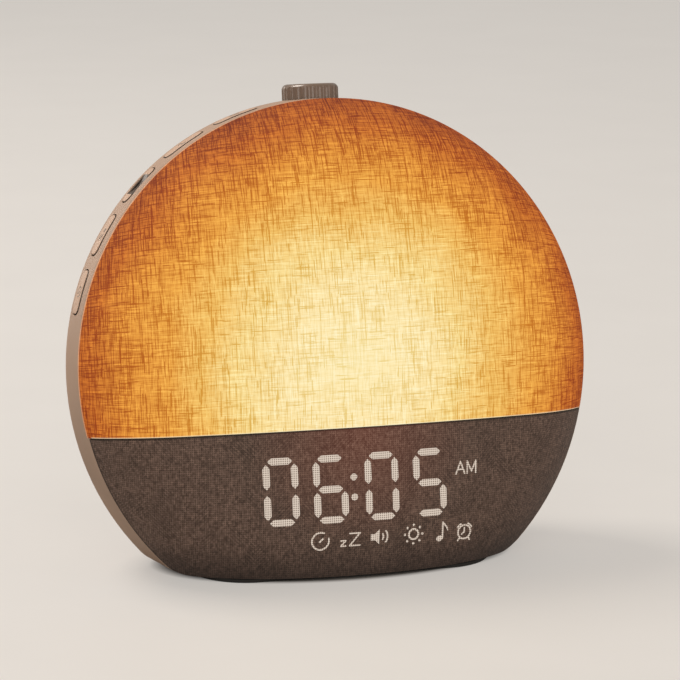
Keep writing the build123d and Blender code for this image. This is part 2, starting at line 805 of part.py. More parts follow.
with BuildPart() as display_inserts:
    extrude(display_cells(0), amount=rim_radius, dir=forward)
    with BuildSketch(FACE.offset(display_depth)):
        Rectangle(2 * rim_radius, 2 * rim_radius)
    extrude(amount=2 * display_led_height, mode=Mode.SUBTRACT)
    add(dome_body, mode=Mode.INTERSECT)
finish(display_inserts.part, "display_inserts")

board_back = display_depth - board_thickness
board_reach = dome_radius_at(display_depth, cloth_thickness + panel_wall) - display_board_gap
with BuildPart() as display_board:
    with BuildSketch(FACE.offset(board_back)):
        with Locations((window_middle, window_level)):
            Rectangle(2 * (display_post_spread + display_board_margin),
                      window_height + 2 * display_board_margin)
        Circle(board_reach, mode=Mode.INTERSECT)
        with Locations(*display_posts):
            Circle(small_shank_radius + running_gap, mode=Mode.SUBTRACT)
    extrude(amount=board_thickness)
    split(bisect_by=BASE.offset(panel_wall + fit_gap), keep=Keep.TOP)
finish(display_board.part, "display_board")

with BuildPart() as display_leds:
    with BuildSketch(FACE.offset(display_depth)):
        for centre in digit_centres:
            with Locations(*[(centre, digit_middle + row * digit_height / 2) for row in (-1, 0, 1)]):
                Rectangle(display_led_length, display_led_width)
            with Locations(*[
                (centre + side * digit_width / 2, digit_middle + row * digit_height / 4)
                for side in (-1, 1) for row in (-1, 1)
            ]):
                Rectangle(display_led_width, display_led_length)
        with Locations(*[(colon_place, digit_middle + row * colon_spacing / 2) for row in (-1, 1)]):
            Rectangle(display_led_width, display_led_length)
        with Locations((half_day_place, half_day_height), *[(place, icon_height) for place in icon_places]):
            Rectangle(display_led_length, display_led_width)
    extrude(amount=display_led_height)
finish(display_leds.part, "display_leds")

with BuildPart() as display_screws:
    for x, y in display_posts:
        add(small_screw(face_point(x, y, board_back, facing=-forward)))
finish(display_screws.part, "display_screws")

# ---------------------------------------------------------------- main board, cell, ribbon
MAIN = FACE.offset(main_back)  # the board's rear face
BOARD_MIDDLE = face_point(0, main_board_middle, main_back)
with BuildPart() as main_board:
    with BuildSketch(MAIN):
        with Locations((0, main_board_middle)):
            RectangleRounded(main_board_width, main_board_height, board_corner_radius)
        with Locations(*main_posts):
            Circle(small_shank_radius + running_gap, mode=Mode.SUBTRACT)
    extrude(amount=board_thickness)
finish(main_board.part, "main_board")

with BuildPart() as board_chips:
    for place, (length, width, height) in zip(chip_places, chip_sizes):
        with BuildSketch(BOARD_MIDDLE):
            with Locations(place):
                Rectangle(length, width)
        extrude(amount=-height)
finish(board_chips.part, "board_chips")

with BuildPart() as capacitors:
    with BuildSketch(BOARD_MIDDLE):
        with Locations(*capacitor_places):
            Circle(capacitor_radius)
    extrude(amount=-capacitor_height)
finish(capacitors.part, "capacitors")

with BuildPart() as cell_holder:
    with BuildSketch(MAIN):
        with Locations((cell_place, main_board_middle)):
            Circle(cell_radius + running_gap + holder_wall)
    extrude(amount=-cell_thickness - holder_floor)
    with BuildSketch(MAIN.offset(-holder_floor)):
        with Locations((cell_place, main_board_middle)):
            Circle(cell_radius + running_gap)
            Rectangle(2 * (cell_radius + running_gap + holder_wall), holder_mouth)
    extrude(amount=-cell_thickness, mode=Mode.SUBTRACT)
finish(cell_holder.part, "cell_holder")

with BuildPart() as backup_cell:
    with BuildSketch(MAIN.offset(-holder_floor)):
        with Locations((cell_place, main_board_middle)):
            Circle(cell_radius)
    extrude(amount=-cell_thickness)
    fillet(backup_cell.edges().filter_by(GeomType.CIRCLE), cell_edge_radius)
finish(backup_cell.part, "backup_cell")

with BuildPart() as main_board_screws:
    for x, y in main_posts:
        add(small_screw(face_point(x, y, -main_board_depth)))
finish(main_board_screws.part, "main_board_screws")

# the ribbon's sockets: one under the display board, one on the main board's front
ribbon_high = (board_back - ribbon_socket_height, window_level - ribbon_socket_drop)
ribbon_low = (ribbon_socket_height - main_board_depth, main_board_middle)
with BuildPart() as ribbon_sockets:
    with BuildSketch(FACE.offset(board_back)):
        with Locations((ribbon_place, ribbon_high[1])):
            Rectangle(ribbon_width + 2 * ribbon_socket_margin, ribbon_socket_depth)
    extrude(amount=-ribbon_socket_height)
    with BuildSketch(FACE.offset(-main_board_depth)):
        with Locations((ribbon_place, ribbon_low[1])):
            Rectangle(ribbon_width + 2 * ribbon_socket_margin, ribbon_socket_depth)
    extrude(amount=ribbon_socket_height)
finish(ribbon_sockets.part, "ribbon_sockets")

ribbon_reach = (ribbon_high[0] - ribbon_low[0]) / 3
with BuildPart() as display_ribbon:
    with BuildSketch(SIDE.offset(-ribbon_place - ribbon_width / 2)):
        with BuildLine():
            Bezier(
                ribbon_high,
                (ribbon_high[0] - ribbon_reach, ribbon_high[1]),
                (ribbon_low[0] + ribbon_reach, ribbon_low[1]),
                ribbon_low,
            )
        trace(line_width=ribbon_thickness)
    extrude(amount=ribbon_width)
finish(display_ribbon.part, "display_ribbon")

# ---------------------------------------------------------------- power inlet
with BuildPart() as power_inlet:
    with BuildSketch(INLET):
        SlotOverall(inlet_width, inlet_thickness)
    extrude(amount=inlet_depth)
    with BuildSketch(INLET):
        SlotOverall(inlet_width - 2 * inlet_wall, inlet_thickness - 2 * inlet_wall)
    extrude(amount=inlet_depth - inlet_floor, mode=Mode.SUBTRACT)
    with BuildSketch(INLET.offset(tongue_setback)):
        Rectangle(tongue_width, tongue_thickness)
    extrude(amount=inlet_depth - tongue_setback)
finish(power_inlet.part, "power_inlet")

with BuildPart() as inlet_board:
    with BuildSketch(LEVEL.offset(rail_top)):
        with Locations((0, -back_inner - inlet_board_depth / 2)):
            Rectangle(inlet_board_width, inlet_board_depth)
        with Locations(*rail_places):
            Circle(small_shank_radius + running_gap, mode=Mode.SUBTRACT)
    extrude(amount=inlet_board_thickness)
finish(inlet_board.part, "inlet_board")

with BuildPart() as inlet_screws:
    for x, y in rail_places:
        seat = Plane(
            origin=LEVEL.from_local_coords(Vector(x, y, rail_top + inlet_board_thickness)),
            x_dir=(1, 0, 0),
            z_dir=upward,
        )
        add(small_screw(seat, length=rail_height))
finish(inlet_screws.part, "inlet_screws")

# ---------------------------------------------------------------- loudspeaker
flange_front = speaker_gasket + speaker_flange
SPEAKER_PROFILE = Plane(origin=SPEAKER.origin, x_dir=(1, 0, 0), z_dir=-upward)
SPEAKER_AXIS = Axis(SPEAKER.origin, forward)

with BuildPart() as speaker_gasket_ring:
    with BuildSketch(SPEAKER):
        Circle(speaker_radius - fit_gap)
        Circle(speaker_throat, mode=Mode.SUBTRACT)
    extrude(amount=speaker_gasket)
finish(speaker_gasket_ring.part, "speaker_gasket")

with BuildPart() as speaker_basket:
    with BuildSketch(SPEAKER_PROFILE):
        with BuildLine():
            Polyline(
                (speaker_throat, speaker_gasket),
                (speaker_radius, speaker_gasket),
                (speaker_radius, flange_front),
                (speaker_throat + speaker_wall, flange_front),
                (speaker_tail_radius + speaker_wall, flange_front + speaker_depth),
                (cone_throat + speaker_wall, flange_front + speaker_depth),
                (cone_throat + speaker_wall, flange_front + speaker_depth - speaker_wall),
                (speaker_tail_radius, flange_front + speaker_depth - speaker_wall),
                (speaker_throat, flange_front),
                close=True,
            )
        make_face()
    revolve(axis=SPEAKER_AXIS)
    with BuildSketch(SPEAKER.offset(speaker_gasket)):
        with PolarLocations(speaker_screw_radius, speaker_screw_count, speaker_start_angle):
            Circle(speaker_ear_radius)
        with PolarLocations(
            speaker_radius - speaker_ear_radius / 2, speaker_screw_count, speaker_start_angle
        ):
            Rectangle(2 * speaker_ear_radius, 2 * speaker_ear_radius)
        Circle(speaker_throat, mode=Mode.SUBTRACT)
        with PolarLocations(speaker_screw_radius, speaker_screw_count, speaker_start_angle):
            Circle(small_shank_radius + running_gap, mode=Mode.SUBTRACT)
    extrude(amount=speaker_flange)
    with BuildSketch(SPEAKER.offset(flange_front + speaker_depth / 2)):
        with PolarLocations(speaker_tail_radius + speaker_wall, 4):
            Rectangle(speaker_depth, basket_window_width)
    extrude(amount=-speaker_depth, mode=Mode.SUBTRACT)
    with BuildSketch(SPEAKER.offset(speaker_gasket)):
        Circle(speaker_radius)
        Circle(speaker_throat, mode=Mode.SUBTRACT)
    extrude(amount=speaker_flange)
finish(speaker_basket.part, "speaker_basket")

cone_front = flange_front - cone_wall
coil_front = flange_front + speaker_depth - cone_wall
cone_bottom = cone_front + cone_depth
coil_inner = cone_throat - 2 * cone_wall
roll_middle = (cone_radius + speaker_throat) / 2

with BuildPart() as speaker_surround:
    with BuildSketch(SPEAKER_PROFILE):
        with BuildLine():
            ThreePointArc(
                (cone_radius, cone_front),
                (roll_middle, cone_front - surround_rise),
                (speaker_throat, cone_front),
            )
            Line((speaker_throat, cone_front), (speaker_throat, flange_front))
            ThreePointArc(
                (speaker_throat, flange_front),
                (roll_middle, flange_front - surround_rise),
                (cone_radius, flange_front),
            )
            Line((cone_radius, flange_front), (cone_radius, cone_front))
        make_face()
    revolve(axis=SPEAKER_AXIS)
finish(speaker_surround.part, "speaker_surround")

with BuildPart() as speaker_cone:
    with BuildSketch(SPEAKER_PROFILE):
        with BuildLine():
            Polyline(
                (cone_radius, cone_front),
                (cone_throat, cone_bottom),
                (0, cone_bottom - 2 * cone_wall),
                (0, cone_bottom - cone_wall),
                (coil_inner, cone_bottom + cone_wall),
                (coil_inner, coil_front),
                (cone_throat, coil_front),
                (cone_throat, cone_bottom + cone_wall),
                (cone_radius, flange_front),
                close=True,
            )
        make_face()
    revolve(axis=SPEAKER_AXIS)
finish(speaker_cone.part, "speaker_cone")

with BuildPart() as speaker_magnet:
    with BuildSketch(SPEAKER.offset(flange_front + speaker_depth)):
        Circle(magnet_radius)
    extrude(amount=magnet_thickness)
    chamfer(speaker_magnet.edges().filter_by(GeomType.CIRCLE), speaker_wall / 2)
finish(speaker_magnet.part, "speaker_magnet")

with BuildPart() as speaker_screws:
    for place in range(speaker_screw_count):
        turn = math.radians(speaker_start_angle + place * 360 / speaker_screw_count)
        x = speaker_screw_radius * math.cos(turn)
        y = speaker_height + speaker_screw_radius * math.sin(turn)
        add(small_screw(face_point(x, y, back_inner + flange_front), length=speaker_screw_length))
finish(speaker_screws.part, "speaker_screws")

# ---------------------------------------------------------------- button bracket, switches, buttons
bracket_margin = math.degrees(bracket_boss_width / 2 / bracket_outer)
bracket_start = boss_angles[0] - bracket_margin
bracket_sweep = boss_angles[-1] + bracket_margin - bracket_start

with BuildPart() as button_bracket:
    with BuildSketch(FACE.offset(bracket_width / 2 - button_setback)):
        with BuildLine():
            outer = CenterArc((0, 0), bracket_outer, bracket_start, bracket_sweep)
            inner = CenterArc((0, 0), bracket_inner, bracket_start, bracket_sweep)
            Line(outer @ 0, inner @ 0)
            Line(outer @ 1, inner @ 1)
        make_face()
    extrude(amount=-bracket_width)
    for angle in button_angles:
        with BuildSketch(button_plane(angle, pad_top)):
            Rectangle(bracket_pad_length, bracket_width)
        extrude(amount=-bracket_thickness)
    for angle in boss_angles:
        with BuildSketch(button_plane(angle, pad_top)):
            Rectangle(bracket_boss_width, bracket_width)
        extrude(amount=-bracket_thickness)
        with BuildSketch(button_plane(angle, pad_top)):
            Circle(small_shank_radius + running_gap)
        extrude(amount=-bracket_thickness, mode=Mode.SUBTRACT)
        with BuildSketch(button_plane(angle, pad_top - bracket_thickness)):
            Circle(small_head_radius + fit_gap)
        extrude(amount=-small_head_height, mode=Mode.SUBTRACT)
finish(button_bracket.part, "button_bracket")

with BuildPart() as switch_strip:
    for angle in button_angles:
        with BuildSketch(button_plane(angle, pad_top)):
            Rectangle(bracket_pad_length, bracket_width - 2 * fit_gap)
        extrude(amount=strip_thickness)
finish(switch_strip.part, "switch_strip")

with BuildPart() as switch_bodies:
    for angle in button_angles:
        with BuildSketch(button_plane(angle, switch_bottom)):
            Rectangle(switch_size, switch_size)
        extrude(amount=switch_height)
        with BuildSketch(button_plane(angle, switch_bottom + switch_floor)):
            Circle(switch_plunger_radius + running_gap)
        extrude(amount=switch_height, mode=Mode.SUBTRACT)
finish(switch_bodies.part, "switch_bodies")

with BuildPart() as bracket_screws:
    for angle in boss_angles:
        seat = button_plane(angle, pad_top - bracket_thickness)
        add(small_screw(Plane(origin=seat.origin, x_dir=seat.x_dir, z_dir=-seat.z_dir)))
finish(bracket_screws.part, "bracket_screws")


def rim_cylinder(radius):
    """A solid round the body's axis that spans the buttons' depth."""
    with BuildPart() as cylinder:
        with BuildSketch(FACE):
            Circle(radius)
        extrude(amount=-2 * button_setback)
    return cylinder.part


def finger_scoop(angle):
    """The wide shallow cylinder that dishes a cap."""
    scoop = (dish_length**2 / 4 + dish_depth**2) / (2 * dish_depth)
    reach = cap_radius + scoop - dish_depth
    turn = math.radians(angle)
    with BuildPart() as cutter:
        with BuildSketch(FACE):
            with Locations((reach * math.cos(turn), reach * math.sin(turn))):
                Circle(scoop)
        extrude(amount=-2 * button_setback)
    return cutter.part


def inlay_block(angle):
    """The inlay and the space above it."""
    with BuildPart() as block:
        with BuildSketch(button_plane(angle, cap_radius - dish_depth - inlay_thickness)):
            SlotOverall(inlay_length, inlay_width)
        extrude(amount=slot_width)
    return block.part


def button_cap(angle, dished):
    """A long cap that follows the band, with its flange and stem."""
    with BuildPart() as cap:
        with BuildSketch(button_plane(angle, flange_bottom)):
            RectangleRounded(
                slot_length - 2 * button_gap, slot_width - 2 * button_gap, slot_corner_radius - button_gap
            )
        extrude(amount=slot_width)
        add(rim_cylinder(cap_radius), mode=Mode.INTERSECT)
        crown = cap.faces().filter_by(GeomType.CYLINDER).sort_by(SortBy.RADIUS)[-1]
        fillet(crown.edges(), button_edge_radius)
        if dished:
            add(finger_scoop(angle), mode=Mode.SUBTRACT)
            add(inlay_block(angle), mode=Mode.SUBTRACT)
    with BuildPart() as flange:
        with BuildSketch(button_plane(angle, flange_bottom)):
            RectangleRounded(
                slot_length + 2 * flange_overlap, slot_width + 2 * flange_overlap, slot_corner_radius
            )
        extrude(amount=slot_width)
        add(rim_cylinder(flange_top), mode=Mode.INTERSECT)
    with BuildPart() as button:
        add(cap.part)
        add(flange.part)
        with BuildSketch(button_plane(angle, plunger_top)):
            Circle(stem_radius)
        extrude(amount=stem_length + flange_thickness / 2)
    return button.part


button_names = ("alarm", "sound", "light", "sleep", "timer")  # from the knob downwards
middle_place = button_count // 2
plunger_bottom = switch_bottom + switch_floor + button_travel + end_gap
for place, (name, angle) in enumerate(zip(button_names, button_angles)):
    finish(button_cap(angle, dished=place == middle_place), f"{name}_button")
    with BuildPart() as plunger:
        with BuildSketch(button_plane(angle, plunger_bottom)):
            Circle(switch_plunger_radius)
        extrude(amount=plunger_top - plunger_bottom)
    finish(plunger.part, f"{name}_plunger")

with BuildPart() as light_button_inlay:
    add(inlay_block(button_angles[middle_place]))
    add(finger_scoop(button_angles[middle_place]), mode=Mode.SUBTRACT)
    add(rim_cylinder(cap_radius), mode=Mode.INTERSECT)
finish(light_button_inlay.part, "light_button_inlay")

# ---------------------------------------------------------------- encoder and knob
encoder_top = knob_floor - frame_wall
encoder_bottom = encoder_top - encoder_height
shaft_bottom = encoder_bottom + encoder_floor + knob_travel + end_gap
rotor_bottom = encoder_top - encoder_height / 2
neck_top = encoder_top + neck_height
knob_bottom = knob_top - knob_height
hub_bottom = neck_top + knob_travel + end_gap
shaft_top = knob_top - shaft_end_cover
flute_radius = (flute_width**2 / 4 + flute_depth**2) / (2 * flute_depth)


def shaft_outline(growth):
    """The flatted round of the shaft, grown for the holes that it runs in."""
    with BuildSketch() as outline:
        Circle(shaft_radius + growth)
        with Locations((0, shaft_radius - shaft_flat + growth + shaft_radius)):
            Rectangle(4 * shaft_radius, 2 * shaft_radius, mode=Mode.SUBTRACT)
    return outline.sketch


with BuildPart() as encoder_body:
    with BuildSketch(KNOB.offset(encoder_bottom)):
        Rectangle(encoder_size, encoder_size)
    extrude(amount=encoder_height)
    with BuildSketch(KNOB.offset(encoder_top)):
        Circle(neck_radius)
    extrude(amount=neck_height)
    with BuildSketch(KNOB.offset(encoder_bottom + encoder_floor)):
        Circle(shaft_radius + running_gap)
    extrude(amount=encoder_height + neck_height, mode=Mode.SUBTRACT)
    with BuildSketch(KNOB.offset(rotor_bottom - fit_gap)):
        Circle(rotor_radius + running_gap)
    extrude(amount=rotor_thickness + 2 * fit_gap, mode=Mode.SUBTRACT)
finish(encoder_body.part, "encoder_body")

with BuildPart() as encoder_rotor:
    with BuildSketch(KNOB.offset(rotor_bottom)):
        Circle(rotor_radius)
        add(shaft_outline(running_gap), mode=Mode.SUBTRACT)
    extrude(amount=rotor_thickness)
finish(encoder_rotor.part, "encoder_rotor")

with BuildPart() as encoder_board:
    with BuildSketch(KNOB.offset(encoder_bottom)):
        RectangleRounded(encoder_board_size, encoder_board_size, board_corner_radius)
    extrude(amount=-board_thickness)
finish(encoder_board.part, "encoder_board")

with BuildPart() as encoder_nut:
    with BuildSketch(KNOB.offset(knob_floor)):
        RegularPolygon(nut_width / 2, 6, major_radius=False)
        Circle(neck_radius + running_gap, mode=Mode.SUBTRACT)
    extrude(amount=nut_height)
finish(encoder_nut.part, "encoder_nut")

with BuildPart() as knob_shaft:
    with BuildSketch(KNOB.offset(shaft_bottom)):
        add(shaft_outline(0))
    extrude(amount=shaft_top - shaft_bottom)
finish(knob_shaft.part, "knob_shaft")

with BuildPart() as knob:
    with BuildSketch(KNOB.offset(knob_bottom)):
        Circle(knob_radius)
    extrude(amount=knob_height)
    fillet(knob.edges().filter_by(GeomType.CIRCLE).sort_by(KNOB_AXIS)[-1], knob_edge_radius)
    with BuildSketch(KNOB.offset(knob_bottom)):
        with PolarLocations(knob_radius - flute_depth + flute_radius, flute_count):
            Circle(flute_radius)
    extrude(amount=knob_height, mode=Mode.SUBTRACT)
    with BuildSketch(KNOB.offset(knob_bottom)):
        Circle(knob_radius - flute_depth - knob_wall)
    extrude(amount=knob_height - knob_wall, mode=Mode.SUBTRACT)
    with BuildSketch(KNOB.offset(hub_bottom)):
        Circle(hub_radius)
    extrude(amount=knob_top - knob_wall / 2 - hub_bottom)
    with BuildSketch(KNOB.offset(hub_bottom)):
        add(shaft_outline(0))
    extrude(amount=shaft_top - hub_bottom, mode=Mode.SUBTRACT)
finish(knob.part, "knob")

# ---------------------------------------------------------------- case screws
with BuildPart() as case_screw_set:
    for x, y in case_screws:
        add(case_screw(face_point(x, y, -frame_depth - case_seat, facing=-forward)))
finish(case_screw_set.part, "case_screws")
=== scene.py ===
"""Looks of the sunrise alarm clock: finishes, the two stretched cloths, the lit display, key marks, lights
and camera. Sizes are millimetres on the clock's face until place() turns them into metres."""

import json
import math

import bpy
import numpy as np
from mathutils import Matrix, Vector


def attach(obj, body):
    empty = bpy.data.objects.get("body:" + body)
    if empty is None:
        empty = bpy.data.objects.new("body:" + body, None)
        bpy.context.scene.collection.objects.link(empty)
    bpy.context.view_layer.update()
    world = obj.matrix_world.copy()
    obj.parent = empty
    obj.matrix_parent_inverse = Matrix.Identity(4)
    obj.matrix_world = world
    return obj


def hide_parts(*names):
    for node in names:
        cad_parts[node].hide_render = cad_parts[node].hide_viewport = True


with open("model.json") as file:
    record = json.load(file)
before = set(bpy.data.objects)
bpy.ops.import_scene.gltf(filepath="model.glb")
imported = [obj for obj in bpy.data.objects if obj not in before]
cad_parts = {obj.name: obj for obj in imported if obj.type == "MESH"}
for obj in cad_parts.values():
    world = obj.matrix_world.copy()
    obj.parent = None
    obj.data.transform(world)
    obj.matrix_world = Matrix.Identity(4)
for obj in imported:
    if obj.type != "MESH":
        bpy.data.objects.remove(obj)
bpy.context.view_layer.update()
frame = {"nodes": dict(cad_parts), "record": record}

# ---------------------------------------------------------------- the clock's own sizes, as in the solids
MM = 0.001
LEAN = math.radians(10.0)
PAD_HEIGHT = 1.2
RIM_RADIUS = 95.0
BASE_DROP = 0.739 * RIM_RADIUS
RIM_SLOPE = math.radians(60.0)
SHOULDER_RADIUS = 41.0
CROWN_TILT = math.radians(14.0)
CORNER_RADIUS = 12.0
DIVISION = -0.2232 * RIM_RADIUS
SEAM = 0.3
LINEN_FOOT = DIVISION + SEAM / 2  # the two cloths' edges at the division
CLOTH_TOP = DIVISION - SEAM / 2
WRAP = 2.0  # the linen folds round the rim and ends this far down the band
WRAP_RADIUS = 0.8
BUTTON_SETBACK = 11.8
BUTTON_FIRST = 108.8
BUTTON_PITCH = 13.2
BAND_DEPTH = 17.5
BAND_FLARE = 0.44
CAP_RADIUS = RIM_RADIUS + 0.3 + BAND_FLARE * BUTTON_SETBACK / BAND_DEPTH

SHOULDER_X = RIM_RADIUS - SHOULDER_RADIUS * math.sin(RIM_SLOPE)
SHOULDER_DEPTH = -SHOULDER_RADIUS * math.cos(RIM_SLOPE)
CROWN_RADIUS = SHOULDER_RADIUS + SHOULDER_X / math.sin(CROWN_TILT)
CROWN_DEPTH = SHOULDER_DEPTH - (CROWN_RADIUS - SHOULDER_RADIUS) * math.cos(CROWN_TILT)
JOIN_RADIUS = CROWN_RADIUS * math.sin(CROWN_TILT)

FLOOR_Y = -BASE_DROP / math.cos(LEAN)  # where the base cuts the face's plane
CORNER_Y = FLOOR_Y + CORNER_RADIUS
CORNER_X = math.sqrt((RIM_RADIUS - CORNER_RADIUS) ** 2 - CORNER_Y**2)

RIGHT = Vector((1, 0, 0))
FORWARD = Vector((0, -math.cos(LEAN), math.sin(LEAN)))
UPWARD = Vector((0, math.sin(LEAN), math.cos(LEAN)))
RIM_CENTRE = Vector((0, 0, (PAD_HEIGHT + BASE_DROP) * MM))


def place(x, y, depth):
    """A point in metres from face millimetres: to the right, up the face and forwards of the rim's plane."""
    return RIM_CENTRE + (RIGHT * x + UPWARD * y + FORWARD * depth) * MM


def dome_depth(radius):
    """How far the dome stands in front of the rim's plane at a radius from its middle."""
    if radius < JOIN_RADIUS:
        return CROWN_DEPTH + math.sqrt(CROWN_RADIUS**2 - radius**2)
    return SHOULDER_DEPTH + math.sqrt(max(SHOULDER_RADIUS**2 - (radius - SHOULDER_X) ** 2, 0.0))


def dome_tilt(radius):
    """The dome's slope at a radius, as an angle."""
    if radius < JOIN_RADIUS:
        return math.asin(radius / CROWN_RADIUS)
    return math.asin(min((radius - SHOULDER_X) / SHOULDER_RADIUS, 1.0))


def dome_reach(radius):
    """The length along the dome from its middle to a radius, which is how far the cloth has run."""
    tilt = dome_tilt(radius)
    if radius < JOIN_RADIUS:
        return CROWN_RADIUS * tilt
    return CROWN_RADIUS * CROWN_TILT + SHOULDER_RADIUS * (tilt - CROWN_TILT)


def past_rim(run):
    """Radius, depth and slope where a cloth that folds round the rim has run this far past it."""
    turn = min(run / WRAP_RADIUS, math.pi / 2 - RIM_SLOPE)
    tilt = RIM_SLOPE + turn
    radius = RIM_RADIUS + WRAP_RADIUS * (math.sin(tilt) - math.sin(RIM_SLOPE))
    depth = WRAP_RADIUS * (math.cos(tilt) - math.cos(RIM_SLOPE)) - (run - turn * WRAP_RADIUS)
    return radius, depth, tilt


def on_dome(x, y, lift=0.0):
    """A point of the dome's skin, lifted off it along its normal. Past the rim, the distance from the middle
    counts on along the fold."""
    run = math.hypot(x, y)
    radius, depth, tilt = run, dome_depth(min(run, RIM_RADIUS)), dome_tilt(min(run, RIM_RADIUS))
    if run > RIM_RADIUS:
        radius, depth, tilt = past_rim(run - RIM_RADIUS)
    outwards = (radius + lift * math.sin(tilt)) / max(run, 1e-9)
    return place(x * outwards, y * outwards, depth + lift * math.cos(tilt))


def unrolled(x, y):
    """Where a point of the dome lies on the flat cloth."""
    run = math.hypot(x, y)
    reach = dome_reach(min(run, RIM_RADIUS)) + max(run - RIM_RADIUS, 0.0)
    stretch = reach / max(run, 1e-9)
    return (x * stretch, y * stretch, 0.0)


def add_mesh(name, points, faces, material, cloth=None, **measures):
    """A smooth mesh from points in metres. cloth is each point's place on the flat cloth, and each measure a
    list with one number for each point."""
    mesh = bpy.data.meshes.new(name)
    mesh.from_pydata([tuple(p) for p in points], [], faces)
    mesh.polygons.foreach_set("use_smooth", [True] * len(mesh.polygons))
    mesh.materials.append(material)
    if cloth:
        threads = mesh.attributes.new("threads", "FLOAT_VECTOR", "POINT")
        threads.data.foreach_set("vector", np.array(cloth, np.float32).ravel())
    for measure, numbers in measures.items():
        values = mesh.attributes.new(measure, "FLOAT", "POINT")
        values.data.foreach_set("value", np.array(numbers, np.float32))
    mesh.update()
    piece = bpy.data.objects.new(name, mesh)
    bpy.context.scene.collection.objects.link(piece)
    return piece


def grid_faces(rows, columns):
    """Quads between the points of a grid that is stored row by row."""
    return [
        (i * columns + j, i * columns + j + 1, (i + 1) * columns + j + 1, (i + 1) * columns + j)
        for i in range(rows - 1)
        for j in range(columns - 1)
    ]


# ---------------------------------------------------------------- shader helper
class Shader:
    """A material with a Principled shader, and short ways to add the nodes behind it."""

    def __init__(self, name, **sockets):
        self.material = bpy.data.materials.new(name)
        self.material.use_nodes = True
        self.tree = self.material.node_tree
        self.bsdf = self.tree.nodes["Principled BSDF"]
        for socket, value in sockets.items():
            self.bsdf.inputs[socket.replace("_", " ").title()].default_value = value

    def put(self, socket, value):
        """Links a socket to another one, or sets it."""
        if isinstance(value, bpy.types.NodeSocket):
            self.tree.links.new(value, socket)
        elif isinstance(value, tuple) and socket.type == "RGBA":
            socket.default_value = (*value, 1)
        else:
            socket.default_value = value

    def node(self, kind, settings=None, **inputs):
        """Adds a node with its settings and inputs."""
        node = self.tree.nodes.new(kind)
        for key, value in (settings or {}).items():
            setattr(node, key, value)
        for key, value in inputs.items():
            self.put(node.inputs[key.replace("_", " ")], value)
        return node

    def math(self, operation, first, second=0.0, clamp=False):
        """A sum, product or other result of two numbers."""
        node = self.node("ShaderNodeMath", {"operation": operation, "use_clamp": clamp})
        self.put(node.inputs[0], first)
        self.put(node.inputs[1], second)
        return node.outputs[0]

    def vector(self, operation, first, second=(0, 0, 0)):
        """The same for vectors, where some operations give a number."""
        node = self.node("ShaderNodeVectorMath", {"operation": operation})
        self.put(node.inputs[0], first)
        self.put(node.inputs["Scale"] if operation == "SCALE" else node.inputs[1], second)
        single = operation in ("LENGTH", "DISTANCE", "DOT_PRODUCT")
        return node.outputs["Value" if single else "Vector"]

    def place_mm(self):
        """The point on the clock, in millimetres."""
        return self.vector("SCALE", self.node("ShaderNodeTexCoord").outputs["Object"], 1 / MM)

    def attribute(self, name, output="Fac"):
        """What add_mesh() stored at each point of the mesh under this name."""
        return self.node("ShaderNodeAttribute", {"attribute_name": name}).outputs[output]

    def noise(self, vector, size, detail=2.0, roughness=0.5, stretch=(1, 1, 1), shift=(0, 0, 0)):
        """Noise with features of about size millimetres, drawn out along each axis by stretch."""
        scaled = self.vector("MULTIPLY", vector, tuple(1 / (size * s) for s in stretch))
        moved = self.vector("ADD", scaled, shift)
        node = self.node("ShaderNodeTexNoise", Vector=moved, Scale=1.0, Detail=detail, Roughness=roughness)
        return node.outputs["Fac"]

    def ramp(self, factor, stops):
        """Colours by factor, where stops are (position, colour)."""
        node = self.node("ShaderNodeValToRGB", Fac=factor)
        elements = node.color_ramp.elements
        while len(elements) < len(stops):
            elements.new(1.0)
        for element, (position, colour) in zip(elements, stops):
            element.position = position
            element.color = (*colour, 1)
        return node.outputs["Color"]

    def span(self, value, low, high, to_low=0.0, to_high=1.0):
        """Maps low..high onto to_low..to_high, held at the ends."""
        node = self.node("ShaderNodeMapRange", Value=value)
        for key, number in zip(("From Min", "From Max", "To Min", "To Max"), (low, high, to_low, to_high)):
            self.put(node.inputs[key], number)
        return node.outputs["Result"]

    def mix(self, factor, first, second, blend="MIX"):
        """Two colours mixed by factor."""
        node = self.node("ShaderNodeMix", {"data_type": "RGBA", "blend_type": blend})
        for socket, value in zip((node.inputs[0], node.inputs[6], node.inputs[7]), (factor, first, second)):
            self.put(socket, value)
        return node.outputs[2]

    def bump(self, height, distance):
        """Height in 0..1 as a relief of distance millimetres."""
        node = self.node("ShaderNodeBump", Height=height, Distance=distance * MM)
        self.put(self.bsdf.inputs["Normal"], node.outputs["Normal"])

    def colour(self, value):
        self.put(self.bsdf.inputs["Base Color"], value)

    def roughness(self, value):
        self.put(self.bsdf.inputs["Roughness"], value)

    def glow(self, value):
        self.put(self.bsdf.inputs["Emission Color"], value)


def shade(colour, share):
    """A colour made darker or lighter."""
    return tuple(min(share * channel, 1.0) for channel in colour)


# ---------------------------------------------------------------- finishes of the solids
KEYS_RIGHT = -20.0  # the side keys and the painted shade in their gaps lie to the left of this, above the next and in front of the last
KEYS_LOW = 20.0
KEYS_BACK = -17.0
KEYS_BLUR = 2.0


